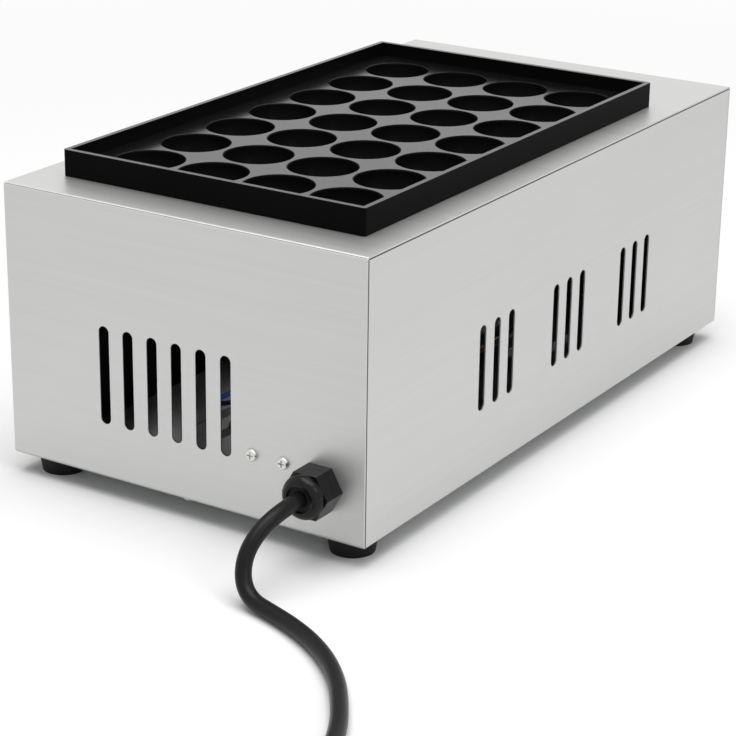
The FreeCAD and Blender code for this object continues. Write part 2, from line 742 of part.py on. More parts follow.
def make_heater_terminals():
    """Threaded terminal pins of the heaters."""
    length = INSULATOR_LENGTH + TERMINAL_LENGTH
    return [rod(TERMINAL_RADIUS, length, place, -Y_AXIS) for place in heater_end_places()]


def make_heater_clamp(y):
    """A flat bar across the heaters, drawn up by one screw in the middle."""
    low = (-CLAMP_HALF, y - CLAMP_WIDTH / 2, CLAMP_TOP - CLAMP_THICKNESS)
    high = (CLAMP_HALF, y + CLAMP_WIDTH / 2, CLAMP_TOP)
    hole = rod(STUD_RADIUS - 0.5 + HOLE_CLEARANCE, 6 * CLAMP_THICKNESS, Vector(0, y, low[2] - 1), Z_AXIS)
    return block(low, high).cut(hole)


def make_bulb_carrier():
    """Thin strip along the middle valley, under the thermostat's sensor."""
    reach = CLAMP_Y + CLAMP_WIDTH / 2
    low = (-CARRIER_WIDTH / 2, PLATE_Y - reach, CLAMP_TOP + FIT / 2)
    high = (CARRIER_WIDTH / 2, PLATE_Y + reach, CLAMP_TOP + FIT / 2 + CARRIER_THICKNESS)
    strip = block(low, high)
    for y in clamp_places():
        start = Vector(0, y, low[2] - 1)
        strip = strip.cut(rod(STUD_RADIUS - 0.5 + HOLE_CLEARANCE, 4 * CARRIER_THICKNESS, start, Z_AXIS))
    return strip


def make_clamp_screws():
    """Screws up through the clamps and the carrier into the plate's bosses."""
    seat = CLAMP_TOP - CLAMP_THICKNESS
    length = CARRIER_TOP - seat + 7.0
    return [pan_screw(STUD_RADIUS - 0.5, length, Vector(0, y, seat), Z_AXIS) for y in clamp_places()]


def make_heat_shield():
    """Bright sheet pan under the heaters, its rim flange up against the housing's top."""
    top = UNDER_TOP - FIT
    x, y = SHIELD_HALF_X, SHIELD_HALF_Y
    bottom = SHIELD_BOTTOM - SHEET
    outside = block((-x - SHEET, PLATE_Y - y - SHEET, bottom), (x + SHEET, PLATE_Y + y + SHEET, top))
    rim_x, rim_y = x + SHEET + SHIELD_FLANGE, y + SHEET + SHIELD_FLANGE
    rim = block((-rim_x, PLATE_Y - rim_y, top - SHEET), (rim_x, PLATE_Y + rim_y, top))
    inside = block((-x, PLATE_Y - y, SHIELD_BOTTOM), (x, PLATE_Y + y, top + 1))
    pan = outside.fuse(rim).cut(inside)
    for place in heater_end_places():
        start = Vector(place.x, SHIELD_FRONT - 3, HEATER_Z)
        pan = pan.cut(rod(HEATER_RADIUS + HOLE_CLEARANCE, 6.0, start, Y_AXIS))
    pan = pan.cut(rod(CAPILLARY_RADIUS + 0.6, 6.0, Vector(0, SHIELD_FRONT - 3, BULB_Z), Y_AXIS))
    for sx, sy in stud_places():
        pan = pan.cut(rod(STUD_RADIUS + HOLE_CLEARANCE, 6.0, Vector(sx, sy, SHIELD_BOTTOM - 3), Z_AXIS))
    return pan


def thermostat_front():
    """The thermostat's mounting face, against the inside of the front wall."""
    return FRONT_INSIDE + FIT


def make_thermostat_body():
    """Capillary thermostat behind the front wall."""
    y0 = thermostat_front()
    half = THERMOSTAT_WIDTH / 2
    low = (-half, y0 + 2.0, KNOB_HEIGHT_Z - THERMOSTAT_HEIGHT / 2)
    high = (half, y0 + THERMOSTAT_DEPTH, KNOB_HEIGHT_Z + THERMOSTAT_HEIGHT / 2)
    body = block(low, high)
    body = body.makeFillet(2.0, [e for e in body.Edges if e.CenterOfMass.y > high[1] - 0.1])
    plate_half = THERMOSTAT_SCREW_SPACING / 2 + 5.0
    bracket = block((-plate_half, y0, KNOB_HEIGHT_Z - 10), (plate_half, y0 + 2.0, KNOB_HEIGHT_Z + 10))
    body = body.fuse(bracket)
    stem = Vector(0, y0 - 1, KNOB_HEIGHT_Z)
    body = body.cut(rod(SHAFT_RADIUS + SHAFT_CLEARANCE, 13.0, stem, Y_AXIS))
    for side in (-1, 1):
        start = stem + X_AXIS * (side * THERMOSTAT_SCREW_SPACING / 2)
        body = body.cut(rod(REAR_SCREW_RADIUS + FIT, 9.0, start, Y_AXIS))
        tab = block(
            (side * 14.0 - 3.2, high[1] - 0.01, KNOB_HEIGHT_Z - 0.4),
            (side * 14.0 + 3.2, high[1] + 8.0, KNOB_HEIGHT_Z + 0.4),
        )
        body = body.fuse(tab)
    return body


def make_thermostat_shaft():
    """Round shaft with a flat for the knob."""
    start = Vector(0, thermostat_front() + 11.0, KNOB_HEIGHT_Z)
    end_y = FRONT - DIAL_THICKNESS - KNOB_GAP - KNOB_DEPTH + 2 * KNOB_WALL
    shaft = rod(SHAFT_RADIUS, start.y - end_y, start, -Y_AXIS)
    flat = block(
        (-SHAFT_RADIUS, end_y - 1, KNOB_HEIGHT_Z + 0.5 * SHAFT_RADIUS),
        (SHAFT_RADIUS, end_y + 10.0, KNOB_HEIGHT_Z + 2 * SHAFT_RADIUS),
    )
    return shaft.cut(flat)


def make_thermostat_screws():
    """Two screws through the front wall, hidden by the knob."""
    places = []
    for side in (-1, 1):
        x = side * THERMOSTAT_SCREW_SPACING / 2
        places.append(Vector(x, FRONT - DIAL_THICKNESS, KNOB_HEIGHT_Z))
    return [pan_screw(REAR_SCREW_RADIUS, 7.0, place, Y_AXIS) for place in places]


def make_dial_plate():
    """Thin round scale behind the knob."""
    start = Vector(0, FRONT, KNOB_HEIGHT_Z)
    disc = rod(DIAL_RADIUS, DIAL_THICKNESS, start, -Y_AXIS)
    disc = disc.cut(rod(SHAFT_RADIUS + 1.5, DIAL_THICKNESS, start, -Y_AXIS))
    for side in (-1, 1):
        hole = start + X_AXIS * (side * THERMOSTAT_SCREW_SPACING / 2)
        disc = disc.cut(rod(REAR_SCREW_RADIUS + HOLE_CLEARANCE, DIAL_THICKNESS, hole, -Y_AXIS))
    return disc


def make_temperature_knob():
    """Hollow knob with a skirt, a fluted grip, a pointer groove and a flatted bore."""
    back = FRONT - DIAL_THICKNESS - KNOB_GAP
    profile = [
        (0.0, 0.0),
        (KNOB_RADIUS, 0.0),
        (KNOB_RADIUS, 2.0),
        (KNOB_RADIUS - 2.0, KNOB_SKIRT),
        (KNOB_GRIP_RADIUS, KNOB_SKIRT + 1.0),
        (KNOB_GRIP_RADIUS - 1.0, KNOB_DEPTH - 1.5),
        (KNOB_GRIP_RADIUS - 2.5, KNOB_DEPTH),
        (0.0, KNOB_DEPTH),
        (0.0, 0.0),
    ]
    points = [Vector(r, back - depth, KNOB_HEIGHT_Z) for r, depth in profile]
    axis_point = Vector(0, back, KNOB_HEIGHT_Z)
    knob = Part.Face(Part.makePolygon(points)).revolve(axis_point, Y_AXIS, 360)
    hollow_depth = KNOB_DEPTH - 2 * KNOB_WALL
    hollow = rod(KNOB_GRIP_RADIUS - 1.0 - KNOB_WALL, hollow_depth, axis_point, -Y_AXIS)
    skirt_hollow = rod(KNOB_RADIUS - 2.0 - KNOB_WALL, KNOB_SKIRT - KNOB_WALL, axis_point, -Y_AXIS)
    hub = rod(SHAFT_RADIUS + KNOB_WALL, hollow_depth, axis_point, -Y_AXIS)
    knob = knob.cut(hollow.fuse(skirt_hollow)).fuse(hub)
    bore_radius = SHAFT_RADIUS + FIT
    bore = rod(bore_radius, hollow_depth + FIT, axis_point, -Y_AXIS)
    key = block(
        (-bore_radius, back - hollow_depth - 1, KNOB_HEIGHT_Z + 0.5 * SHAFT_RADIUS + FIT),
        (bore_radius, back - hollow_depth + 9.0, KNOB_HEIGHT_Z + 2 * SHAFT_RADIUS),
    )
    knob = knob.cut(bore.cut(key))
    for k in range(KNOB_FLUTES):
        angle = math.radians(360.0 * (k + 0.5) / KNOB_FLUTES)
        reach = KNOB_GRIP_RADIUS + 2.2
        x = reach * math.sin(angle)
        z = KNOB_HEIGHT_Z + reach * math.cos(angle)
        start = Vector(x, back - KNOB_SKIRT - 1.5, z)
        knob = knob.cut(rod(3.4, KNOB_DEPTH, start, -Y_AXIS))
    pointer = block(
        (-0.9, back - KNOB_DEPTH - 0.01, KNOB_HEIGHT_Z + 4.0),
        (0.9, back - KNOB_DEPTH + 1.0, KNOB_HEIGHT_Z + KNOB_GRIP_RADIUS - 3.0),
    )
    return knob.cut(pointer)


def make_capillary():
    """Fine tube from the sensor, round the boss and out through the shield to the thermostat."""
    start = PLATE_Y - BULB_LENGTH / 2
    boss = PLATE_Y - CLAMP_Y
    y_end = thermostat_front() + THERMOSTAT_DEPTH
    aside = BOSS_RADIUS + CAPILLARY_RADIUS + 1.6
    return routed_tube([
        Vector(0, start, BULB_Z),
        Vector(0, start - 3.5, BULB_Z),
        Vector(aside, boss + 4.0, BULB_Z),
        Vector(aside, boss - 5.0, BULB_Z),
        Vector(0, boss - 16.0, BULB_Z),
        Vector(0, SHIELD_FRONT - 18.0, BULB_Z),
        Vector(6.0, SHIELD_FRONT - 24.0, BULB_Z - 26.0),
        Vector(0, y_end + 14.0, KNOB_HEIGHT_Z + 10.0),
        Vector(0, y_end, KNOB_HEIGHT_Z + 10.0),
    ], CAPILLARY_RADIUS)


def make_sensor_bulb():
    """Thermostat sensor in the middle valley."""
    start = Vector(0, PLATE_Y - BULB_LENGTH / 2, BULB_Z)
    bulb = rod(BULB_RADIUS, BULB_LENGTH, start, Y_AXIS)
    return bulb.makeFillet(1.2, [e for e in bulb.Edges if len(e.Vertexes) == 1])


def make_lamp(place):
    """Lamp housing: a bezel outside, a barrel through the wall and two tabs inside."""
    bezel = rod(LAMP_BEZEL_RADIUS, LAMP_BEZEL, place, -Y_AXIS)
    barrel = rod(LAMP_RADIUS, LAMP_DEPTH, place, Y_AXIS)
    lamp = bezel.fuse(barrel)
    lamp = lamp.cut(rod(LAMP_RADIUS - 0.8, LAMP_BEZEL + 4.0, place - Y_AXIS * LAMP_BEZEL, Y_AXIS))
    for side in (-1, 1):
        low = (place.x + side * 2.5 - 0.4, place.y + LAMP_DEPTH - 0.01, place.z - 1.4)
        high = (place.x + side * 2.5 + 0.4, place.y + LAMP_DEPTH + 7.0, place.z + 1.4)
        lamp = lamp.fuse(block(low, high))
    return lamp


def make_lens(place):
    """Domed lens that plugs into the lamp's bezel."""
    radius = LAMP_RADIUS - 0.8 - FIT
    base = place - Y_AXIS * LAMP_BEZEL
    stem = rod(radius, LAMP_BEZEL + 3.8, base, Y_AXIS)
    ball_radius = (radius ** 2 + LAMP_DOME ** 2) / (2 * LAMP_DOME)
    ball = Part.makeSphere(ball_radius, base + Y_AXIS * (ball_radius - LAMP_DOME))
    cap = ball.common(rod(radius, LAMP_DOME, base, -Y_AXIS))
    return stem.fuse(cap)


def make_lamp_nuts():
    """Round nuts that hold the lamps from inside."""
    nuts = []
    for place in lamp_places().values():
        start = Vector(place.x, FRONT_INSIDE + FIT, place.z)
        nuts.append(hexagon(2.6 * LAMP_RADIUS, 3.0, start, Y_AXIS).cut(rod(LAMP_RADIUS + FIT, 3.0, start, Y_AXIS)))
    return nuts


def make_terminal_block():
    """Three-way terminal block on the rear wall, on two short feet."""
    back = REAR_INSIDE - FIT
    front = back - BLOCK_DEPTH
    half = BLOCK_WIDTH / 2
    low = (BLOCK_SCREW_X - half, front, BLOCK_Z - BLOCK_HEIGHT / 2)
    high = (BLOCK_SCREW_X + half, back - BLOCK_STANDOFF, BLOCK_Z + BLOCK_HEIGHT / 2)
    body = block(low, high)
    for seat in block_screw_places():
        body = body.fuse(rod(3.6, BLOCK_STANDOFF, Vector(seat.x, back, BLOCK_Z), -Y_AXIS))
    for seat in block_screw_places():
        start = Vector(seat.x, back + 1, BLOCK_Z)
        body = body.cut(rod(REAR_SCREW_RADIUS + FIT, BLOCK_DEPTH + 2, start, -Y_AXIS))
    for x in terminal_columns():
        for side in (-1, 1):
            start = Vector(x, front + 4.0, BLOCK_Z + side * (BLOCK_HEIGHT / 2 + 1))
            body = body.cut(rod(CORE_RADIUS + 0.5, 6.0, start, Z_AXIS * -side))
    return body


def terminal_columns():
    """X of the live, earth and neutral ways of the terminal block."""
    return [BLOCK_SCREW_X + k * BLOCK_WIDTH * 0.36 for k in (-1, 0, 1)]


def make_rear_screws():
    """Two cross-head screws in the rear wall that carry the terminal block."""
    return [pan_screw(REAR_SCREW_RADIUS, BLOCK_DEPTH + SHEET + 5.0, seat, -Y_AXIS) for seat in block_screw_places()]


def make_small_nuts():
    """Nuts on the terminal block's screws and on the earth stud, above the wire's eyelet."""
    y = REAR_INSIDE - FIT - BLOCK_DEPTH
    nuts = [nut(REAR_SCREW_RADIUS, 3.0, Vector(seat.x, y, BLOCK_Z), -Y_AXIS) for seat in block_screw_places()]
    nuts.append(nut(REAR_SCREW_RADIUS, 3.0, earth_stud_place() + Z_AXIS * 4.2))
    return nuts


def gland_point(y):
    """A point on the gland's axis."""
    return Vector(GLAND_X, y, GLAND_Z)


def make_gland_body():
    """Gland: a hexagon outside the wall and a threaded sleeve through it."""
    body = hexagon(GLAND_ACROSS_FLATS, GLAND_HEX, gland_point(REAR), Y_AXIS)
    sleeve = rod(GLAND_THREAD_RADIUS, GLAND_INSIDE + SHEET, gland_point(REAR), -Y_AXIS)
    collar = rod(GLAND_THREAD_RADIUS - 1.0, GLAND_HEX + 3.0, gland_point(REAR), Y_AXIS)
    bore_start = gland_point(REAR - GLAND_INSIDE - SHEET - 1)
    bore = rod(GLAND_BORE, GLAND_OUT + GLAND_INSIDE + 6.0, bore_start, Y_AXIS)
    return body.fuse(sleeve).fuse(collar).cut(bore)


def make_gland_seal():
    """Rubber ring between the gland's sleeve and its cap, round the cord."""
    start = gland_point(REAR + GLAND_HEX + 3.0 + FIT)
    length = GLAND_CAP_HEX + GLAND_DOME - 3.0 - FIT - 1.5
    ring = rod(GLAND_MOUTH_RADIUS - FIT, length, start, Y_AXIS)
    return ring.cut(rod(GLAND_BORE, length, start, Y_AXIS))


def make_gland_cap():
    """Cap nut with a domed end."""
    start = REAR + GLAND_HEX + FIT
    hexagon_part = hexagon(GLAND_ACROSS_FLATS, GLAND_CAP_HEX - FIT, gland_point(start), Y_AXIS)
    dome_low = REAR + GLAND_HEX + GLAND_CAP_HEX
    wide = GLAND_ACROSS_FLATS / 2
    mouth = GLAND_MOUTH_RADIUS + 1.5
    profile = Part.Wire([
        Part.LineSegment(Vector(0, 0, 0), Vector(wide, 0, 0)).toShape(),
        Part.Arc(
            Vector(wide, 0, 0),
            Vector(mouth + 0.78 * (wide - mouth), 0, 0.62 * GLAND_DOME),
            Vector(mouth, 0, GLAND_DOME),
        ).toShape(),
        Part.LineSegment(Vector(mouth, 0, GLAND_DOME), Vector(0, 0, GLAND_DOME)).toShape(),
        Part.LineSegment(Vector(0, 0, GLAND_DOME), Vector(0, 0, 0)).toShape(),
    ])
    dome = Part.Face(profile).revolve(Vector(0, 0, 0), Z_AXIS, 360)
    dome.Placement = FreeCAD.Placement(gland_point(dome_low), Rotation(Z_AXIS, Y_AXIS))
    cap = hexagon_part.fuse(dome)
    thread = rod(GLAND_THREAD_RADIUS - 1.0 + FIT, 3.0 + FIT, gland_point(start), Y_AXIS)
    bore = rod(GLAND_MOUTH_RADIUS, GLAND_OUT, gland_point(start), Y_AXIS)
    return cap.cut(thread).cut(bore)


def make_gland_locknut():
    """Flat nut inside the rear wall."""
    start = gland_point(REAR_INSIDE - FIT)
    body = hexagon(GLAND_ACROSS_FLATS + 2.0, LOCKNUT, start, -Y_AXIS)
    return body.cut(rod(GLAND_THREAD_RADIUS + FIT, LOCKNUT, start, -Y_AXIS))


def make_lead_in():
    """The end of the cord's sheath, from the gland's mouth into the housing."""
    length = GLAND_OUT + LEAD_INSIDE
    return rod(CORD_RADIUS, length, gland_point(GLAND_FACE), -Y_AXIS)


def core_route(x, column, drop):
    """One core from the sheath's end, round and up into its way of the terminal block."""
    start = gland_point(REAR - LEAD_INSIDE) + Vector(x, 0, drop)
    entry_y = REAR_INSIDE - FIT - BLOCK_DEPTH + 4.0
    entry_z = BLOCK_Z - BLOCK_HEIGHT / 2
    return [
        start,
        start - Y_AXIS * 8.0,
        Vector((start.x + column) / 2, start.y - 12.0, start.z - 5.0 - 1.5 * abs(x)),
        Vector(column, entry_y - 6.0, entry_z - 11.0),
        Vector(column, entry_y, entry_z - 5.0),
        Vector(column, entry_y, entry_z + 4.0),
    ]


def make_live_core():
    """Live core of the supply cord, to the first way."""
    return routed_tube(core_route(-2.1, terminal_columns()[0], -1.2), CORE_RADIUS)


def make_earth_core():
    """Earth core of the supply cord, to the middle way."""
    return routed_tube(core_route(0.0, terminal_columns()[1], 2.4), CORE_RADIUS)


def make_neutral_core():
    """Neutral core of the supply cord, to the last way."""
    return routed_tube(core_route(2.1, terminal_columns()[2], -1.2), CORE_RADIUS)


def block_exit(column):
    """Where a wire leaves the top of the terminal block."""
    entry_y = REAR_INSIDE - FIT - BLOCK_DEPTH + 4.0
    return Vector(column, entry_y, BLOCK_Z + BLOCK_HEIGHT / 2 - 4.0)


def make_live_wire():
    """Brown wire from the terminal block, behind the rear slots, to the thermostat."""
    start = block_exit(terminal_columns()[0])
    low = BOTTOM + 16.0
    tab_y = thermostat_front() + THERMOSTAT_DEPTH + 8.0
    return routed_tube([
        start,
        start + Vector(0, 0, 10.0),
        Vector(start.x + 14.0, start.y - 8.0, start.z + 15.0),
        Vector(start.x + 36.0, start.y - 18.0, start.z + 12.0),
        Vector(start.x + 67.0, start.y - 22.0, start.z - 12.0),
        Vector(start.x + 64.0, start.y - 48.0, start.z - 27.0),
        Vector(start.x + 32.0, start.y - 84.0, low + 1.0),
        Vector(-40.0, REAR - 130.0, low),
        Vector(-44.0, REAR - 180.0, low + 2.0),
        Vector(-40.0, REAR - 240.0, low),
        Vector(-44.0, REAR - 300.0, low + 3.0),
        Vector(-36.0, tab_y + 36.0, low + 20.0),
        Vector(-18.0, tab_y + 14.0, KNOB_HEIGHT_Z - 12.0),
        Vector(-14.0, tab_y + 8.0, KNOB_HEIGHT_Z),
        Vector(-14.0, tab_y, KNOB_HEIGHT_Z),
    ], CORE_RADIUS)


def make_neutral_wire():
    """Blue wire from the terminal block, behind the rear slots, to the heaters' +X ends."""
    start = block_exit(terminal_columns()[2])
    low = BOTTOM + 14.0
    end = heater_end_places()[2] - Y_AXIS * (INSULATOR_LENGTH + TERMINAL_LENGTH)
    return routed_tube([
        start,
        start + Vector(0, 0, 14.0),
        Vector(start.x + 12.0, start.y - 4.0, start.z + 24.0),
        Vector(start.x + 32.0, start.y - 8.0, start.z + 14.0),
        Vector(start.x + 52.0, start.y - 26.0, start.z - 2.0),
        Vector(20.0, REAR - 110.0, low + 6.0),
        Vector(40.0, REAR - 165.0, low),
        Vector(44.0, REAR - 225.0, low + 2.0),
        Vector(40.0, REAR - 285.0, low),
        Vector(44.0, end.y + 22.0, low + 24.0),
        Vector(48.0, end.y - 14.0, low + 70.0),
        Vector(end.x, end.y - 10.0, HEATER_Z - 14.0),
        Vector(end.x, end.y - 8.0, HEATER_Z),
        Vector(end.x, end.y, HEATER_Z),
    ], CORE_RADIUS)


def make_switched_wire():
    """Wire from the thermostat to the heaters' -X ends."""
    tab_y = thermostat_front() + THERMOSTAT_DEPTH + 8.0
    end = heater_end_places()[1] - Y_AXIS * (INSULATOR_LENGTH + TERMINAL_LENGTH)
    return routed_tube([
        Vector(14.0, tab_y, KNOB_HEIGHT_Z),
        Vector(14.0, tab_y + 10.0, KNOB_HEIGHT_Z),
        Vector(6.0, tab_y + 20.0, KNOB_HEIGHT_Z + 16.0),
        Vector(-22.0, tab_y + 16.0, KNOB_HEIGHT_Z + 27.0),
        Vector(-40.0, end.y - 14.0, KNOB_HEIGHT_Z + 46.0),
        Vector(end.x, end.y - 9.0, HEATER_Z - 10.0),
        Vector(end.x, end.y - 7.0, HEATER_Z),
        Vector(end.x, end.y, HEATER_Z),
    ], CORE_RADIUS)


def make_heater_links():
    """Short bridges that join each outer heater end to the inner one beside it."""
    links = []
    ends = heater_end_places()
    out = INSULATOR_LENGTH + TERMINAL_LENGTH - 3.0
    for a, b in ((ends[0], ends[1]), (ends[2], ends[3])):
        radius = TERMINAL_RADIUS + 1.6
        y = a.y - out
        strap = block((a.x, y - 0.5, a.z - 2.0), (b.x, y + 0.5, a.z + 2.0))
        for end in (a, b):
            strap = strap.fuse(rod(radius, 1.0, Vector(end.x, y - 0.5, end.z), Y_AXIS))
        for end in (a, b):
            strap = strap.cut(rod(TERMINAL_RADIUS + FIT, 3.0, Vector(end.x, y - 1.5, end.z), Y_AXIS))
        links.append(strap)
    return links


def earth_stud_place():
    """The earth stud, on the base plate's upper face near the rear wall."""
    return Vector(BLOCK_SCREW_X - 2.0, REAR - 62.0, BOTTOM)


def make_earth_stud():
    """Earth stud standing on the base plate, with its flange."""
    place = earth_stud_place()
    flange = rod(4.5, 1.0, place + Z_AXIS * FIT, Z_AXIS)
    return flange.fuse(rod(2.0, 12.0, place + Z_AXIS * FIT, Z_AXIS))


def make_earth_wire():
    """Earth wire from the terminal block's middle way to the stud, with its eyelet."""
    start = block_exit(terminal_columns()[1])
    place = earth_stud_place()
    level = place.z + 1.0 + 2 * FIT + 1.5
    wire = routed_tube([
        start,
        start + Vector(0, 0, 9.0),
        Vector(start.x - 4.0, start.y - 14.0, start.z + 9.0),
        Vector(start.x - 3.0, start.y - 24.0, start.z - 14.0),
        Vector(place.x + 1.0, place.y + 18.0, level + 3.0),
        Vector(place.x, place.y + 5.0, level),
        Vector(place.x, place.y + 3.2, level),
    ], CORE_RADIUS)
    eyelet = rod(4.0, 2.6, Vector(place.x, place.y, level - 1.3), Z_AXIS)
    return wire.fuse(eyelet).cut(rod(2.0 + FIT, 8.0, Vector(place.x, place.y, level - 4.0), Z_AXIS))


def make_power_cord():
    """The free stretch of the cord, from the gland's mouth to the coil."""
    wire = bend_path(CORD_ROUTE, "cord")
    tube = tube_along(wire, CORD_RADIUS)
    section = math.pi * CORD_RADIUS ** 2
    print(f"cord length {wire.Length:.1f} volume over section times length {tube.Volume / section / wire.Length:.5f}")
    return tube


def coil_frame():
    """The coil's middle on the table, and its two directions: sideways and along the entry."""
    out = Z_AXIS.cross(COIL_HEADING)
    return COIL_ENTRY + out * COIL_RADIUS, out * -1.0, Vector(COIL_HEADING)


def coil_half_turns():
    """Each half turn's two end distances from the middle, and its two heights."""
    turns = []
    radius = COIL_RADIUS
    low = CORD_ON_FLOOR
    high = low + COIL_LAYER
    for _ in range(COIL_LOOPS_IN):
        turns.append((radius, radius - COIL_PITCH / 2, low, low))
        radius -= COIL_PITCH / 2
    turns.append((radius, radius, low, high))
    for _ in range(COIL_LOOPS_OUT):
        turns.append((radius, radius + COIL_PITCH / 2, high, high))
        radius += COIL_PITCH / 2
    return turns


def coil_wire():
    """Half turns as pairs of tangent arcs, with a straight end of one diameter at each side."""
    middle, side, along = coil_frame()
    middle = Vector(middle.x, middle.y, 0)
    edges = []
    straight = 2 * CORD_RADIUS
    sign = 1
    first = coil_half_turns()[0]
    begin = middle + side * first[0] + Z_AXIS * first[2]
    edges.append(Part.LineSegment(begin - along * straight, begin).toShape())
    for r0, r1, z0, z1 in coil_half_turns():
        start = middle + side * (sign * r0) + Z_AXIS * z0
        end = middle - side * (sign * r1) + Z_AXIS * z1
        reach = (end - start).Length / 2
        tip = (start + end) * 0.5 + along * (sign * reach)
        for a, b, corner in (
            (start, tip, start + along * (sign * reach)),
            (tip, end, end + along * (sign * reach)),
        ):
            centre = a + b - corner
            halfway = centre + (corner - centre).normalize() * reach
            edges.append(Part.Arc(a, halfway, b).toShape())
        sign = -sign
    last = end
    edges.append(Part.LineSegment(last, last + along * (sign * straight)).toShape())
    return Part.Wire(edges), last + along * (sign * straight), along * sign


def least_gap(wire, radius):
    """The smallest clear distance between two turns of a wire, measured on points."""
    step = 2.0
    points = wire.discretize(Distance=step)
    skip = int(6 * radius / step)
    least = 1e9
    for i, a in enumerate(points):
        for b in points[i + skip:]:
            least = min(least, (b - a).Length)
    return least - 2 * radius


def make_cord_coil():
    """The stored length of the cord: turns spiral in, climb a layer and spiral out again."""
    wire = coil_wire()[0]
    print(f"coil length {wire.Length:.1f} least gap to itself {least_gap(wire, CORD_RADIUS):.2f}")
    return tube_along(wire, CORD_RADIUS)


def plug_start():
    """Where the plug's strain relief begins, and its direction."""
    end, heading = coil_wire()[1:]
    foot = Vector(end.x, end.y, 0) + heading * 62.0
    return foot + Z_AXIS * (PLUG_RADIUS + 0.1), heading


def make_cord_tail():
    """The last stretch of the cord, from the coil up to the plug."""
    end, heading = coil_wire()[1:]
    plug, _ = plug_start()
    points = [end, end + heading * 20.0, plug - heading * 20.0, plug]
    return routed_tube(points, CORD_RADIUS, "tail")


def plug_revolved(profile):
    """A round solid of the plug, from pairs of distance along its axis and radius."""
    start, heading = plug_start()
    points = [Vector(radius, 0, along) for along, radius in profile]
    points.append(points[0])
    solid = Part.Face(Part.makePolygon(points)).revolve(Vector(0, 0, 0), Z_AXIS, 360)
    solid.Placement = FreeCAD.Placement(start, Rotation(Z_AXIS, heading))
    return solid


def make_plug_body():
    """Moulded round plug with a ribbed strain relief."""
    profile = [(0.0, 0.0), (0.0, CORD_RADIUS + 1.2)]
    ribs = 4
    for k in range(ribs):
        start = 2.0 + k * (PLUG_RELIEF - 2.0) / ribs
        wide = CORD_RADIUS + 1.4 + 0.7 * k
        profile.append((start, wide))
        profile.append((start + 3.0, wide + 0.4))
        profile.append((start + 3.2, wide - 1.0))
        profile.append((start + 5.2, wide - 0.8))
    end = PLUG_RELIEF + PLUG_LENGTH
    profile += [
        (PLUG_RELIEF, 0.5 * PLUG_RADIUS),
        (PLUG_RELIEF + 0.4 * PLUG_LENGTH, 0.84 * PLUG_RADIUS),
        (PLUG_RELIEF + 0.62 * PLUG_LENGTH, PLUG_RADIUS),
        (end - 1.0, PLUG_RADIUS),
        (end, PLUG_RADIUS - 1.0),
        (end, 0.0),
    ]
    return plug_revolved(profile)


def make_plug_pins():
    """Two round pins, with rounded tips."""
    start, heading = plug_start()
    across = heading.cross(Z_AXIS)
    pins = []
    for side in (-1, 1):
        foot = start + heading * (PLUG_RELIEF + PLUG_LENGTH) + across * (side * PIN_SPACING / 2)
        pin = rod(PIN_RADIUS, PIN_LENGTH, foot, heading)
        tip = foot + heading * PIN_LENGTH
        rims = [e for e in pin.Edges if len(e.Vertexes) == 1 and (e.CenterOfMass - tip).Length < 0.5]
        pins.append(pin.makeFillet(1.6, rims))
    return pins


def make_plug_earth_clips():
    """Earth contact strips at the top and bottom of the plug's face."""
    start, heading = plug_start()
    across = heading.cross(Z_AXIS)
    clips = []
    for side in (-1, 1):
        middle = start + heading * (PLUG_RELIEF + PLUG_LENGTH) + Z_AXIS * (side * (PLUG_RADIUS - 3.2))
        corner = middle - across * 2.5 - Z_AXIS * 0.5
        face = Part.Face(Part.makePolygon([
            corner,
            corner + across * 5.0,
            corner + across * 5.0 + Z_AXIS,
            corner + Z_AXIS,
            corner,
        ]))
        clips.append(face.extrude(heading * 3.0))
    return clips


def save(name, solids):
    """Write one node: a solid, or a group of like solids."""
    if isinstance(solids, list):
        shape = Part.makeCompound(solids)
    else:
        shape = solids
    if not shape.isValid():
        print("not valid:", name)
    shape.exportStep(os.path.join("parts", name + ".step"))


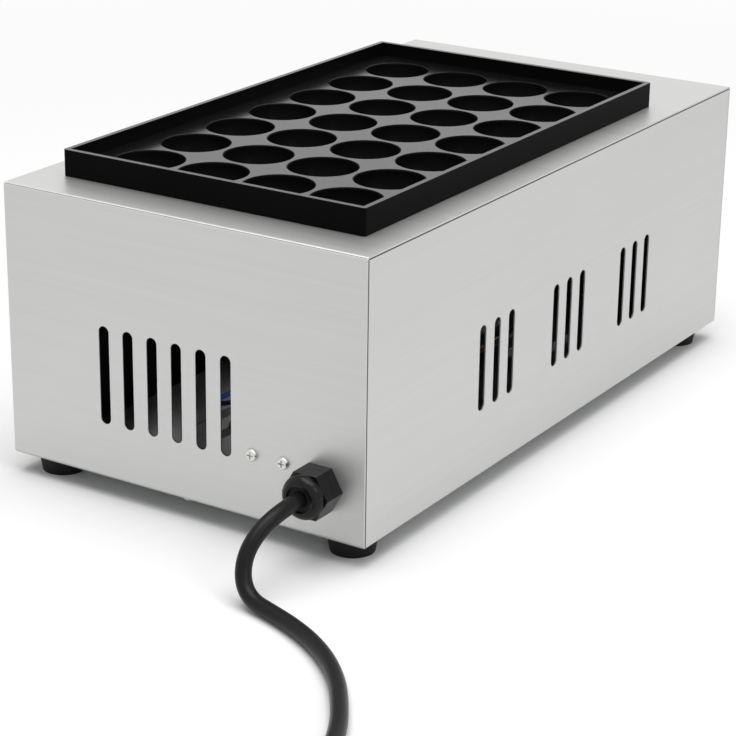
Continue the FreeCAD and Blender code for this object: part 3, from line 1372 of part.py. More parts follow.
def main():
    """Make every node."""
    os.makedirs("parts", exist_ok=True)
    save("body_cover", make_body_cover())
    save("left_side_panel", make_side_panel(-1))
    save("right_side_panel", make_side_panel(1))
    save("base_plate", make_base_plate())
    save("base_screws", make_base_screws())
    for name, place in foot_places().items():
        save(name, make_foot(place))
    save("foot_screws", make_foot_screws())
    save("foot_washers", make_foot_washers())
    save("foot_nuts", make_foot_nuts())
    save("mould_plate", make_mould_plate())
    save("plate_studs", make_plate_studs())
    save("plate_washers", make_plate_washers())
    save("plate_nuts", make_plate_nuts())
    save("inner_heater", make_heater(INNER_LEG_X, INNER_END_Y))
    save("outer_heater", make_heater(OUTER_LEG_X, OUTER_END_Y))
    save("heater_insulators", make_heater_insulators())
    save("heater_terminals", make_heater_terminals())
    save("heater_links", make_heater_links())
    for name, y in zip(("front_heater_clamp", "rear_heater_clamp"), clamp_places()):
        save(name, make_heater_clamp(y))
    save("bulb_carrier", make_bulb_carrier())
    save("clamp_screws", make_clamp_screws())
    save("heat_shield", make_heat_shield())
    save("thermostat_body", make_thermostat_body())
    save("thermostat_shaft", make_thermostat_shaft())
    save("thermostat_screws", make_thermostat_screws())
    save("sensor_bulb", make_sensor_bulb())
    save("capillary_tube", make_capillary())
    save("dial_plate", make_dial_plate())
    save("temperature_knob", make_temperature_knob())
    for name, place in lamp_places().items():
        save(name, make_lamp(place))
        save(name + "_lens", make_lens(place))
    save("lamp_nuts", make_lamp_nuts())
    save("terminal_block", make_terminal_block())
    save("rear_screws", make_rear_screws())
    save("small_nuts", make_small_nuts())
    save("gland_body", make_gland_body())
    save("gland_seal", make_gland_seal())
    save("gland_cap", make_gland_cap())
    save("gland_locknut", make_gland_locknut())
    save("lead_in", make_lead_in())
    save("live_core", make_live_core())
    save("earth_core", make_earth_core())
    save("neutral_core", make_neutral_core())
    save("live_wire", make_live_wire())
    save("neutral_wire", make_neutral_wire())
    save("switched_wire", make_switched_wire())
    save("earth_wire", make_earth_wire())
    save("earth_stud", make_earth_stud())
    save("power_cord", make_power_cord())
    save("cord_coil", make_cord_coil())
    save("cord_tail", make_cord_tail())
    save("plug_body", make_plug_body())
    save("plug_pins", make_plug_pins())
    save("plug_earth_clips", make_plug_earth_clips())


main()
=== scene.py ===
import math

import bmesh
import bpy
import numpy as np
from bpy.props import FloatProperty, FloatVectorProperty, PointerProperty
from mathutils import Matrix, Vector


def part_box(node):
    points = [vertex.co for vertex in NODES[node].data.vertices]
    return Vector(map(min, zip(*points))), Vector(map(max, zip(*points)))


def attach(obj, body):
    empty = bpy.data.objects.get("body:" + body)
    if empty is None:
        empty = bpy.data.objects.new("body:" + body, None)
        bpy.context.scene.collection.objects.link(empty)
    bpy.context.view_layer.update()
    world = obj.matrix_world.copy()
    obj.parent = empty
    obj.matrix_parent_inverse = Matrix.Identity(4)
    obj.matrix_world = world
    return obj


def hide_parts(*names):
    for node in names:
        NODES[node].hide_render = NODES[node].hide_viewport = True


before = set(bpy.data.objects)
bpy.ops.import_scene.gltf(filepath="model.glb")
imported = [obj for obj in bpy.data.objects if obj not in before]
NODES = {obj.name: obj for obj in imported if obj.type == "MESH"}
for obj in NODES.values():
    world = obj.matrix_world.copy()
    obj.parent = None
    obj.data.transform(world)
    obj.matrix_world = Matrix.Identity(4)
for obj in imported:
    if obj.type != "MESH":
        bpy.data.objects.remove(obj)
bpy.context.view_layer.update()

bl_info = {
    "name": "Takoyaki maker",
    "version": (1, 0, 0),
    "blender": (4, 5, 0),
    "location": "3D View > Sidebar > Takoyaki",
    "description": "Finishes, cord and control marks of a countertop takoyaki maker",
    "category": "Object",
}

MM = 0.001
WELD_DISTANCE = 1e-7


def low_corner(node):
    """Lowest corner of a node, in metres."""
    return Vector(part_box(node)[0])


def high_corner(node):
    """Highest corner of a node, in metres."""
    return Vector(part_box(node)[1])


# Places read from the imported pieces
REAR_FACE = high_corner("body_cover").y
FRONT_FACE = low_corner("body_cover").y
HOUSING_TOP = high_corner("body_cover").z
HOUSING_SIDE = high_corner("body_cover").x
RIM_TOP = high_corner("mould_plate").z
PLATE_FLOOR_DEPTH = 8.5 * MM
PLATE_FLOOR = RIM_TOP - PLATE_FLOOR_DEPTH
GLAND_MOUTH = Vector((
    (low_corner("gland_cap").x + high_corner("gland_cap").x) / 2,
    high_corner("gland_cap").y,
    (low_corner("gland_cap").z + high_corner("gland_cap").z) / 2,
))
KNOB_FRONT = low_corner("temperature_knob").y
KNOB_Z = (low_corner("temperature_knob").z + high_corner("temperature_knob").z) / 2
DIAL_FRONT = low_corner("dial_plate").y
KNOB_RADIUS = (high_corner("temperature_knob").x - low_corner("temperature_knob").x) / 2

# Camera, at the photograph's angle. Metres, radians, and the focal length as a share of the frame.
CAMERA_PLACE = Vector((-0.71805, 1.16747, 0.53746))
CAMERA_YAW = -1.0078
CAMERA_PITCH = 0.3610
CAMERA_ROLL = 0.0133
FOCAL_SHARE = 2336.24 / 736
SENSOR_MM = 36.0

# Lamps, and the floor that fades to white away from the object, in metres
LAMP_PLACE = (-0.2, 0.2, 3.2)
LAMP_TARGET = (0.0, 0.0, 0.0)
LAMP_SIZE = 3.0
SIDE_LAMP_PLACE = (-1.9, 0.5, 1.5)
SIDE_LAMP_TARGET = (0.0, 0.0, 0.1)
SIDE_LAMP_SIZE = 0.8
SIDE_LAMP_SHARE = 0.06
FLOOR_REACH = 12.0
FLOOR_PAINT = (0.92, 0.92, 0.92, 1.0)
FADE_START = 0.6
FADE_PER_METRE = 1.2
WHITE = (1.0, 1.0, 1.0, 1.0)

# Sheet and coating: depths in metres, grain in steps per metre across and along it
SHEET_DEPTH = 0.5 * MM
# Painted shade along the side panels' joint: a dark band of this width and tone stands in for the shadow in
# the groove
SEAM_SHADE_DEPTH = 1.7 * MM
SEAM_SHADE_TONE = (0.1, 0.1, 0.1)
# Painted shade: near-black for the inner side of the housing's sheet, standing in for the shade inside the
# box
INSIDE_SHADE_TONE = (0.05, 0.048, 0.046)
FINE_GRAIN = (1400.0, 14.0)
BROAD_GRAIN = (260.0, 3.0)
LEVEL_FACE = 0.95
LEVEL_FROM = PLATE_FLOOR - 0.3 * MM

# The free cord, in metres: the same points as the solid tube's route
CORD_RADIUS = 4.5 * MM
CORD_ON_FLOOR = 4.6 * MM
CORD_FIRST_RUN = 15.0 * MM
CORD_ROUTE = [
    (-0.0880, 0.2730, 0.0340),
    (-0.0865, 0.2830, 0.0235),
    (-0.0895, 0.2890, 0.0125),
    (-0.0975, 0.2925, 0.0056),
    (-0.1120, 0.2960, CORD_ON_FLOOR),
    (-0.1300, 0.3025, CORD_ON_FLOOR),
    (-0.1480, 0.3115, CORD_ON_FLOOR),
    (-0.1660, 0.3245, CORD_ON_FLOOR),
    (-0.1810, 0.3400, CORD_ON_FLOOR),
    (-0.1930, 0.3565, CORD_ON_FLOOR),
    (-0.2040, 0.3740, CORD_ON_FLOOR),
    (-0.2120, 0.3920, CORD_ON_FLOOR),
    (-0.2175, 0.4110, CORD_ON_FLOOR),
    (-0.2200, 0.4300, CORD_ON_FLOOR),
    (-0.2185, 0.4475, CORD_ON_FLOOR),
    (-0.2125, 0.4645, CORD_ON_FLOOR),
]
COIL_ENTRY = Vector((-0.1720, 0.5029, CORD_ON_FLOOR))
COIL_HEADING = Vector((0.831, 0.556, 0.0)).normalized()
COIL_RADIUS = 64.0 * MM
COIL_PITCH = 11.6 * MM
COIL_LAYER = 9.9 * MM
COIL_HALVES_IN = 3
COIL_HALVES_OUT = 2
POINTS_PER_HALF = 8
COIL_LAST_RUN = 33.0 * MM
TAIL_LENGTH = 62.0 * MM
TAIL_RUN = 20.0 * MM
COIL_STRAIGHT = 9.0 * MM
PLUG_AXIS_Z = 18.6 * MM
TIE_WIDTH = 6.0 * MM
TIE_THICKNESS = 0.5 * MM
TIE_SLACK = 1.0 * MM
TIE_ABOVE = 0.35 * MM
TIE_BOTTOM = 0.02 * MM
TIE_STEPS = 96
CORD_STEPS = 8
CORD_ROUNDNESS = 5

# Scale and pointer of the knob
DIAL_SWEEP = 270.0
DIAL_NUMBERS = ("0", "50", "100", "150", "200", "250", "300")
MARKS_PER_NUMBER = 5
MARK_GAP = 1.6 * MM
MARK_LENGTHS = (3.2 * MM, 1.8 * MM)
MARK_HALF_WIDTHS = (0.35 * MM, 0.22 * MM)
MARK_RAISED = 0.05 * MM
MARK_SUNK = 0.02 * MM
MARK_FACES = ((0, 1, 2, 3), (7, 6, 5, 4), (0, 4, 5, 1), (1, 5, 6, 2), (2, 6, 7, 3), (3, 7, 4, 0))
NUMBER_RING_GAP = 9.3 * MM
NUMBER_RAISED = 0.03 * MM
POINTER_FROM = 4.3 * MM
POINTER_TO = 14.6 * MM
POINTER_HALF_WIDTH = 0.8 * MM
POINTER_BELOW_FACE = 0.55 * MM
POINTER_HALF_DEPTH = 0.42 * MM
POINTER_STEPS = (25, 24)


class Value:
    """A shader socket that takes part in sums, differences, products and comparisons."""

    def __init__(self, shader, socket):
        self.shader = shader
        self.socket = socket

    def math(self, operation, *others):
        """A maths node on this value and the others."""
        return self.shader.node("ShaderNodeMath", {"operation": operation}, self, *others)["Value"]

    def __add__(self, other):
        return self.math("ADD", other)

    __radd__ = __add__

    def __sub__(self, other):
        return self.math("SUBTRACT", other)

    def __rsub__(self, other):
        return self.shader.node("ShaderNodeMath", {"operation": "SUBTRACT"}, other, self)["Value"]

    def __mul__(self, other):
        return self.math("MULTIPLY", other)

    __rmul__ = __mul__

    def __gt__(self, other):
        return self.math("GREATER_THAN", other)

    def __lt__(self, other):
        return self.math("LESS_THAN", other)


class Shader:
    """A new material, or the world, with its node tree emptied, to be filled by expressions."""

    def __init__(self, what):
        named = isinstance(what, str)
        kind = "ShaderNodeOutputMaterial" if named else "ShaderNodeOutputWorld"
        self.owner = bpy.data.materials.new(what) if named else what
        self.owner.use_nodes = True
        self.tree = self.owner.node_tree
        self.tree.nodes.clear()
        self.output = self.tree.nodes.new(kind)

    def node(self, kind, settings=None, *inputs, **named):
        """Add a node: settings first, then the values or links of its sockets. Returns its outputs."""
        made = self.tree.nodes.new(kind)
        for key, value in (settings or {}).items():
            setattr(made, key, value)
        for key, value in [*enumerate(inputs), *named.items()]:
            socket = made.inputs[key if isinstance(key, int) else key.replace("_", " ")]
            if isinstance(value, Value):
                self.tree.links.new(value.socket, socket)
            else:
                socket.default_value = value
        return {o.name: Value(self, o) for o in made.outputs}

    def coordinates(self, scale):
        """Object coordinates, stretched by three factors per metre."""
        place = self.node("ShaderNodeTexCoord")["Object"]
        return self.node("ShaderNodeMapping", None, Vector=place, Scale=scale)["Vector"]

    def noise(self, scale, detail=3.0, rough=0.55):
        """Noise centred on a half, on object coordinates stretched per axis."""
        made = self.node("ShaderNodeTexNoise", None, Vector=self.coordinates(scale), Scale=1.0,
                         Detail=detail, Roughness=rough)
        return made["Fac"]

    def parts(self, output="Object"):
        """The three parts of a place in metres, or of the direction a surface faces."""
        place = self.node("ShaderNodeTexCoord")[output]
        split = self.node("ShaderNodeSeparateXYZ", None, Vector=place)
        return split["X"], split["Y"], split["Z"]

    def blend(self, share, first, second):
        """A colour between two colours."""
        made = self.tree.nodes.new("ShaderNodeMix")
        made.data_type = "RGBA"
        self.tree.links.new(share.socket, made.inputs[0])
        for socket, value in ((made.inputs[6], first), (made.inputs[7], second)):
            if isinstance(value, Value):
                self.tree.links.new(value.socket, socket)
            else:
                socket.default_value = (*value, 1.0)
        return Value(self, made.outputs[2])

    def bump(self, height, distance, strength=1.0):
        """A normal from a height in the range 0 to 1 times a distance in metres."""
        made = self.node("ShaderNodeBump", None, Strength=strength, Distance=distance, Height=height)
        return made["Normal"]

    def mix(self, share, first, second):
        """A shader between two shaders."""
        return self.node("ShaderNodeMixShader", None, share, first, second)["Shader"]

    def finish(self, shader):
        """Lead a shader to the output, and return what the tree belongs to."""
        self.tree.links.new(shader.socket, self.output.inputs["Surface"])
        return self.owner

    def surface(self, **sockets):
        """Finish the material with a principled shader."""
        return self.finish(self.node("ShaderNodeBsdfPrincipled", None, **sockets)["BSDF"])


def colour(value):
    """A colour property as a tuple of three numbers."""
    return tuple(float(v) for v in value)


def shaded(tone, factor):
    """A colour made lighter or darker."""
    return tuple(min(1.0, v * factor) for v in tone)


def inner_shade_mask(shader):
    """One on the inner side of the housing's sheet, where painted shade goes, nought outside."""
    x, y, z = shader.parts()
    within = x.math("ABSOLUTE") < HOUSING_SIDE - SHEET_DEPTH
    within = within * (y < REAR_FACE - SHEET_DEPTH) * (y > FRONT_FACE + SHEET_DEPTH)
    return within * (z < HOUSING_TOP - SHEET_DEPTH)


def seam_shade_mask(shader):
    """One in the narrow joint between a side panel and the cover round it, where a line of painted shade
    goes.
    """
    _, y, z = shader.parts()
    ends = (y > REAR_FACE - SEAM_SHADE_DEPTH) + (y < FRONT_FACE + SEAM_SHADE_DEPTH)
    return (ends + (z > HOUSING_TOP - SEAM_SHADE_DEPTH)).math("MINIMUM", 1.0)


def brushed_sheet(name, tone, grain_axis, rough, with_seam_shade=False):
    """Satin brushed stainless sheet: fine broken lines along one axis, slow cloudy change, painted shade on
    the inner side and, on a panel that is let in, a line of painted shade along the joint."""
    shader = Shader(name)
    lines, bands = (
        shader.noise([along if axis == grain_axis else across for axis in range(3)], 2.0)
        for across, along in (FINE_GRAIN, BROAD_GRAIN)
    )
    cloud = shader.noise((5.0, 5.0, 5.0), 2.0)
    share = lines * 0.45 + bands * 0.25 + cloud * 0.3
    base = shader.blend(share, shaded(tone, 0.88), shaded(tone, 1.1))
    # Painted shade: the inner side of the sheet is made near-black
    base = shader.blend(inner_shade_mask(shader), base, INSIDE_SHADE_TONE)
    if with_seam_shade:
        # Painted shade: the band along the joint is darkened where the groove's shadow would fall
        base = shader.blend(seam_shade_mask(shader), base, SEAM_SHADE_TONE)
    return shader.surface(
        Base_Color=base,
        Metallic=0.82,
        Roughness=rough - 0.06 + lines * 0.12,
        Normal=shader.bump(lines * 0.7 + bands * 0.3, 0.03 * MM, 0.35),
    )


def bright_sheet(name, tone, rough):
    """Plain mill-finish sheet with faint clouding and rolling marks."""
    shader = Shader(name)
    cloud = shader.noise((30.0, 30.0, 30.0), 4.0)
    marks = shader.noise((900.0, 12.0, 900.0), 2.0)
    base = shader.blend(cloud, shaded(tone, 0.85), shaded(tone, 1.1))
    return shader.surface(
        Base_Color=base,
        Metallic=0.9,
        Roughness=rough - 0.08 + cloud * 0.16,
        Normal=shader.bump(marks, 0.02 * MM, 0.3),
    )


def cast_coating(name, tone, rough):
    """Black non-stick coating on a casting: fine orange peel, matt on its sides and in the cups, and
    glossier on the level top faces, where it is wiped."""
    shader = Shader(name)
    peel = shader.noise((700.0, 700.0, 700.0), 3.0)
    cloud = shader.noise((14.0, 14.0, 14.0), 3.0)
    level = (shader.parts("Normal")[2] > LEVEL_FACE) * (shader.parts()[2] > LEVEL_FROM)
    base = shader.blend(cloud, shaded(tone, 0.75), shaded(tone, 1.3))
    return shader.surface(
        Base_Color=base,
        Roughness=rough - 0.05 + peel * 0.1,
        Specular_IOR_Level=0.02,
        Coat_Weight=level * 0.85,
        Coat_Roughness=0.16,
        Normal=shader.bump(peel, 0.04 * MM, 0.3),
    )


def moulded(name, tone, rough, grain=500.0, depth=0.04, shine=0.5):
    """Moulded plastic or rubber with a fine grain and slight change of shade."""
    shader = Shader(name)
    fine = shader.noise((grain, grain, grain), 3.0)
    cloud = shader.noise((40.0, 40.0, 40.0), 2.0)
    base = shader.blend(cloud, shaded(tone, 0.8), shaded(tone, 1.2))
    return shader.surface(
        Base_Color=base,
        Roughness=rough - 0.06 + fine * 0.12,
        Specular_IOR_Level=shine,
        Normal=shader.bump(fine, depth * MM, 0.5),
    )


def plated(name, tone, rough):
    """Plated metal with small differences of shade and gloss."""
    shader = Shader(name)
    cloud = shader.noise((180.0, 180.0, 180.0), 3.0)
    base = shader.blend(cloud, shaded(tone, 0.85), shaded(tone, 1.1))
    return shader.surface(Base_Color=base, Metallic=1.0, Roughness=rough - 0.05 + cloud * 0.1)


def lens_plastic(name, tone):
    """Clear coloured lens, seen as a glossy deep colour with ribs inside."""
    shader = Shader(name)
    ribs = shader.noise((900.0, 20.0, 900.0), 1.0)
    base = shader.blend(ribs, shaded(tone, 0.6), shaded(tone, 1.2))
    return shader.surface(Base_Color=base, Roughness=0.12 + ribs * 0.05, Coat_Weight=0.6)


def striped_insulation(name, tone, stripe):
    """Two-colour insulation: broad bands of a second colour."""
    shader = Shader(name)
    wave = shader.noise((40.0, 200.0, 200.0), 0.0)
    base = shader.blend(wave > 0.52, tone, stripe)
    return shader.surface(Base_Color=base, Roughness=0.4)


def dress(material, *names):
    """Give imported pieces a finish."""
    for name in names:
        node = NODES[name]
        if not node.material_slots:
            node.data.materials.append(material)
        for slot in node.material_slots:
            slot.material = material


def mesh_piece(name, points, faces, material, body, smooth=True):
    """A new piece from arrays of points and faces, in place, riding a body. Points that coincide are
    joined, and the faces are turned outwards."""
    mesh = bpy.data.meshes.new(name)
    mesh.from_pydata(np.asarray(points, float).tolist(), [], [list(map(int, f)) for f in faces])
    mesh.materials.append(material)
    mesh.polygons.foreach_set("use_smooth", np.full(len(mesh.polygons), smooth))
    mesh.update()
    shape = bmesh.new()
    shape.from_mesh(mesh)
    bmesh.ops.remove_doubles(shape, verts=shape.verts, dist=WELD_DISTANCE)
    bmesh.ops.recalc_face_normals(shape, faces=shape.faces)
    shape.to_mesh(mesh)
    shape.free()
    piece = bpy.data.objects.new(name, mesh)
    bpy.context.scene.collection.objects.link(piece)
    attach(piece, body)
    return piece


def grid_faces(rows, columns):
    """Quads of a grid whose rows close on themselves."""
    r, c = np.meshgrid(np.arange(rows - 1), np.arange(columns), indexing="ij")
    d = (c + 1) % columns
    quads = np.stack([r * columns + c, r * columns + d, (r + 1) * columns + d, (r + 1) * columns + c], -1)
    return quads.reshape(-1, 4)


class HousingFinish(bpy.types.PropertyGroup):
    """How the sheet looks."""

    steel: FloatVectorProperty(
        name="Steel colour", description="Colour of the brushed housing",
        subtype="COLOR", size=3, min=0.0, max=1.0, default=(0.59, 0.592, 0.585))
    roughness: FloatProperty(
        name="Steel roughness", description="How matt the brushed sheet is", min=0.0, max=1.0, default=0.42)


class PlateFinish(bpy.types.PropertyGroup):
    """How the cast plate looks."""

    coating: FloatVectorProperty(
        name="Coating colour", description="Colour of the non-stick coating",
        subtype="COLOR", size=3, min=0.0, max=1.0, default=(0.004, 0.004, 0.004))
    roughness: FloatProperty(
        name="Coating roughness", description="How matt the coating is", min=0.0, max=1.0, default=0.36)


class CordSizes(bpy.types.PropertyGroup):
    """Size and colour of the cord."""

    radius: FloatProperty(
        name="Cord radius", description="Half the cord's thickness",
        subtype="DISTANCE", unit="LENGTH", default=CORD_RADIUS)
    rubber: FloatVectorProperty(
        name="Rubber colour", description="Colour of the cord's sheath",
        subtype="COLOR", size=3, min=0.0, max=1.0, default=(0.007, 0.007, 0.007))


class ControlSizes(bpy.types.PropertyGroup):
    """Size and colour of the knob's scale."""

    number_height: FloatProperty(
        name="Number height", description="Height of the numbers on the dial",
        subtype="DISTANCE", unit="LENGTH", default=5.0 * MM)
    ink: FloatVectorProperty(
        name="Ink colour", description="Colour of the dial's printing",
        subtype="COLOR", size=3, min=0.0, max=1.0, default=(0.02, 0.02, 0.022))


class StageLight(bpy.types.PropertyGroup):
    """Strength of the light."""

    world: FloatProperty(
        name="Surrounding light", description="Strength of the even light all round",
        min=0.0, default=0.4)
    key: FloatProperty(
        name="Overhead lamp", description="Power of the large lamp above",
        subtype="POWER", min=0.0, default=92.0)


class TAKOYAKI_OT_housing(bpy.types.Operator):
    """Finish the folded housing, its base plate and the sheet pieces inside"""

    bl_idname = "takoyaki.housing"
    bl_label = "Housing"

    def execute(self, context):
        finish = context.scene.takoyaki_housing
        tone = colour(finish.steel)
        dress(brushed_sheet("cover_steel", tone, 0, finish.roughness), "body_cover")
        # The side panels carry the painted shade line along their joint
        panel = brushed_sheet("panel_steel", tone, 1, finish.roughness, True)
        dress(panel, "left_side_panel", "right_side_panel")
        dress(bright_sheet("mill_sheet", (0.6, 0.61, 0.62), 0.34),
              "base_plate", "heat_shield", "front_heater_clamp", "rear_heater_clamp",
              "bulb_carrier", "heater_links")
        return {"FINISHED"}


class TAKOYAKI_OT_plate(bpy.types.Operator):
    """Finish the cast plate with its cups"""

    bl_idname = "takoyaki.plate"
    bl_label = "Cooking plate"

    def execute(self, context):
        finish = context.scene.takoyaki_plate
        tone = colour(finish.coating)
        dress(cast_coating("plate_coating", tone, finish.roughness), "mould_plate")
        return {"FINISHED"}


class TAKOYAKI_OT_heating(bpy.types.Operator):
    """Finish the heaters, their terminals, the sensor, its fine tube and the plug's metal"""

    bl_idname = "takoyaki.heating"
    bl_label = "Heating parts"

    def execute(self, context):
        dress(plated("annealed_tube", (0.2, 0.19, 0.18), 0.45),
              "inner_heater", "outer_heater", "thermostat_shaft")
        dress(moulded("ceramic", (0.42, 0.4, 0.36), 0.45), "heater_insulators")
        dress(plated("copper", (0.7, 0.38, 0.22), 0.3), "sensor_bulb", "capillary_tube")
        dress(plated("nickel", (0.72, 0.7, 0.66), 0.25),
              "heater_terminals", "plug_pins", "plug_earth_clips")
        return {"FINISHED"}


class TAKOYAKI_OT_fasteners(bpy.types.Operator):
    """Finish the screws, nuts, washers and studs"""

    bl_idname = "takoyaki.fasteners"
    bl_label = "Fasteners"

    def execute(self, context):
        dress(plated("zinc", (0.66, 0.66, 0.64), 0.28),
              "base_screws", "foot_screws", "foot_washers", "foot_nuts", "plate_studs", "plate_washers",
              "plate_nuts", "clamp_screws", "thermostat_screws", "rear_screws", "small_nuts", "lamp_nuts",
              "earth_stud")
        return {"FINISHED"}


class TAKOYAKI_OT_feet(bpy.types.Operator):
    """Finish the four rubber feet"""

    bl_idname = "takoyaki.feet"
    bl_label = "Feet"

    def execute(self, context):
        rubber = moulded("foot_rubber", (0.008, 0.008, 0.008), 0.6, 300.0, 0.06, 0.2)
        dress(rubber, "foot_front_left", "foot_front_right", "foot_rear_left", "foot_rear_right")
        return {"FINISHED"}


class TAKOYAKI_OT_controls(bpy.types.Operator):
    """Finish the knob, dial and lamps, and add the pointer line, scale marks and numbers"""

    bl_idname = "takoyaki.controls"
    bl_label = "Controls"

    def execute(self, context):
        sizes = context.scene.takoyaki_control
        plastic = moulded("control_plastic", (0.012, 0.012, 0.012), 0.36, 400.0, 0.03, 0.35)
        dress(plastic, "temperature_knob", "power_lamp", "heating_lamp", "thermostat_body")
        dress(bright_sheet("dial_sheet", (0.62, 0.62, 0.61), 0.4), "dial_plate")
        dress(lens_plastic("green_lens", (0.02, 0.42, 0.1)), "power_lamp_lens")
        dress(lens_plastic("amber_lens", (0.75, 0.26, 0.02)), "heating_lamp_lens")
        dress(moulded("terminal_plastic", (0.78, 0.77, 0.72), 0.5), "terminal_block")
        ink = moulded("dial_ink", colour(sizes.ink), 0.6)
        dial_marks(ink)
        dial_numbers(ink, sizes.number_height)
        pointer_line(moulded("pointer_paint", (0.8, 0.8, 0.8), 0.5))
        return {"FINISHED"}


def dial_angle(share):
    """Angle of a place on the scale, clockwise from straight up, where the knob rests."""
    return np.radians(DIAL_SWEEP * share)


def dial_marks(ink):
    """Radial bars on a ring: corner points are radius times sine and cosine of each bar's angle,
    plus or minus half its width across."""
    count = MARKS_PER_NUMBER * (len(DIAL_NUMBERS) - 1) + 1
    long = (np.arange(count) % MARKS_PER_NUMBER) == 0
    angle = dial_angle(np.arange(count) / (count - 1))
    inner = np.full(count, KNOB_RADIUS + MARK_GAP)
    outer = inner + np.where(long, *MARK_LENGTHS)
    half = np.where(long, *MARK_HALF_WIDTHS)
    radial = np.stack([np.sin(angle), np.cos(angle)], -1)
    across = np.stack([np.cos(angle), -np.sin(angle)], -1)
    flat = np.stack([
        radial * r[:, None] + across * (side * half)[:, None]
        for r, side in ((inner, -1), (outer, -1), (outer, 1), (inner, 1))
    ], 1)
    points = np.empty((count, 2, 4, 3))
    points[..., 0] = flat[:, None, :, 0]
    points[:, 0, :, 1] = DIAL_FRONT - MARK_RAISED
    points[:, 1, :, 1] = DIAL_FRONT + MARK_SUNK
    points[..., 2] = flat[:, None, :, 1] + KNOB_Z
    start = 8 * np.arange(count)[:, None, None]
    faces = (start + np.array(MARK_FACES)).reshape(-1, 4)
    mesh_piece("dial_marks", points.reshape(-1, 3), faces, ink, "housing", False)


def dial_numbers(ink, size):
    """Plain numbers in a ring round the knob, upright, as thin raised printing."""
    radius = KNOB_RADIUS + NUMBER_RING_GAP
    points, faces = [], []
    for k, number in enumerate(DIAL_NUMBERS):
        text = bpy.data.curves.new("number", "FONT")
        text.body = number
        text.size = size
        text.align_x = "CENTER"
        text.align_y = "CENTER"
        text.extrude = NUMBER_RAISED
        holder = bpy.data.objects.new("number", text)
        bpy.context.scene.collection.objects.link(holder)
        bpy.context.view_layer.update()
        mesh = bpy.data.meshes.new_from_object(holder)
        flat = np.empty(3 * len(mesh.vertices))
        mesh.vertices.foreach_get("co", flat)
        flat = flat.reshape(-1, 3)
        angle = dial_angle(k / (len(DIAL_NUMBERS) - 1))
        base = len(points)
        placed = np.stack([
            flat[:, 0] + radius * math.sin(angle),
            DIAL_FRONT - NUMBER_RAISED - flat[:, 2],
            flat[:, 1] + KNOB_Z + radius * math.cos(angle),
        ], -1)
        points.extend(placed.tolist())
        faces.extend([[base + v for v in p.vertices] for p in mesh.polygons])
        bpy.data.objects.remove(holder)
        bpy.data.curves.remove(text)
        bpy.data.meshes.remove(mesh)
    mesh_piece("dial_numbers", points, faces, ink, "housing", False)


def pointer_line(paint):
    """A crowned bar in the knob's groove: a superellipse section of power 2 / 0.6 round the angle v,
    narrowed at both ends by sqrt(1 - |2u - 1|^12) along the length u."""
    rows, columns = POINTER_STEPS
    u = np.linspace(0.0, 1.0, rows)[:, None]
    v = np.linspace(0.0, 2 * np.pi, columns, endpoint=False)[None, :]
    ends = np.sqrt(np.clip(1 - np.abs(2 * u - 1) ** 12, 0.0, 1))
    x = POINTER_HALF_WIDTH * ends * np.sign(np.cos(v)) * np.abs(np.cos(v)) ** 0.6
    depth = POINTER_HALF_DEPTH * ends * np.sign(np.sin(v)) * np.abs(np.sin(v)) ** 0.6
    y = KNOB_FRONT + POINTER_BELOW_FACE + depth
    z = KNOB_Z + POINTER_FROM + (POINTER_TO - POINTER_FROM) * u
    points = np.stack(np.broadcast_arrays(x, y, z), -1).reshape(-1, 3)
    mesh_piece("pointer_line", points, grid_faces(rows, columns), paint, "control")


class TAKOYAKI_OT_gland(bpy.types.Operator):
    """Finish the cord gland in the rear wall"""

    bl_idname = "takoyaki.gland"
    bl_label = "Cord gland"

    def execute(self, context):
        nylon = moulded("gland_nylon", (0.006, 0.006, 0.006), 0.2, 350.0, 0.02, 0.2)
        dress(nylon, "gland_body", "gland_cap", "gland_locknut")
        dress(moulded("seal_rubber", (0.01, 0.01, 0.01), 0.6, shine=0.2), "gland_seal")
        return {"FINISHED"}


class TAKOYAKI_OT_wires(bpy.types.Operator):
    """Finish the wires inside the housing"""

    bl_idname = "takoyaki.wires"
    bl_label = "Wires"

    def execute(self, context):
        dress(moulded("brown_insulation", (0.2, 0.07, 0.02), 0.4),
              "live_core", "live_wire", "switched_wire")
        dress(moulded("blue_insulation", (0.02, 0.12, 0.5), 0.4), "neutral_core", "neutral_wire")
        dress(striped_insulation("earth_insulation", (0.12, 0.35, 0.03), (0.75, 0.62, 0.03)),
              "earth_core", "earth_wire")
        return {"FINISHED"}


def coil_frame():
    """The direction from the coil's entry to its middle, and the middle."""
    out = Vector((0, 0, 1)).cross(COIL_HEADING)
    return out, COIL_ENTRY + out * COIL_RADIUS


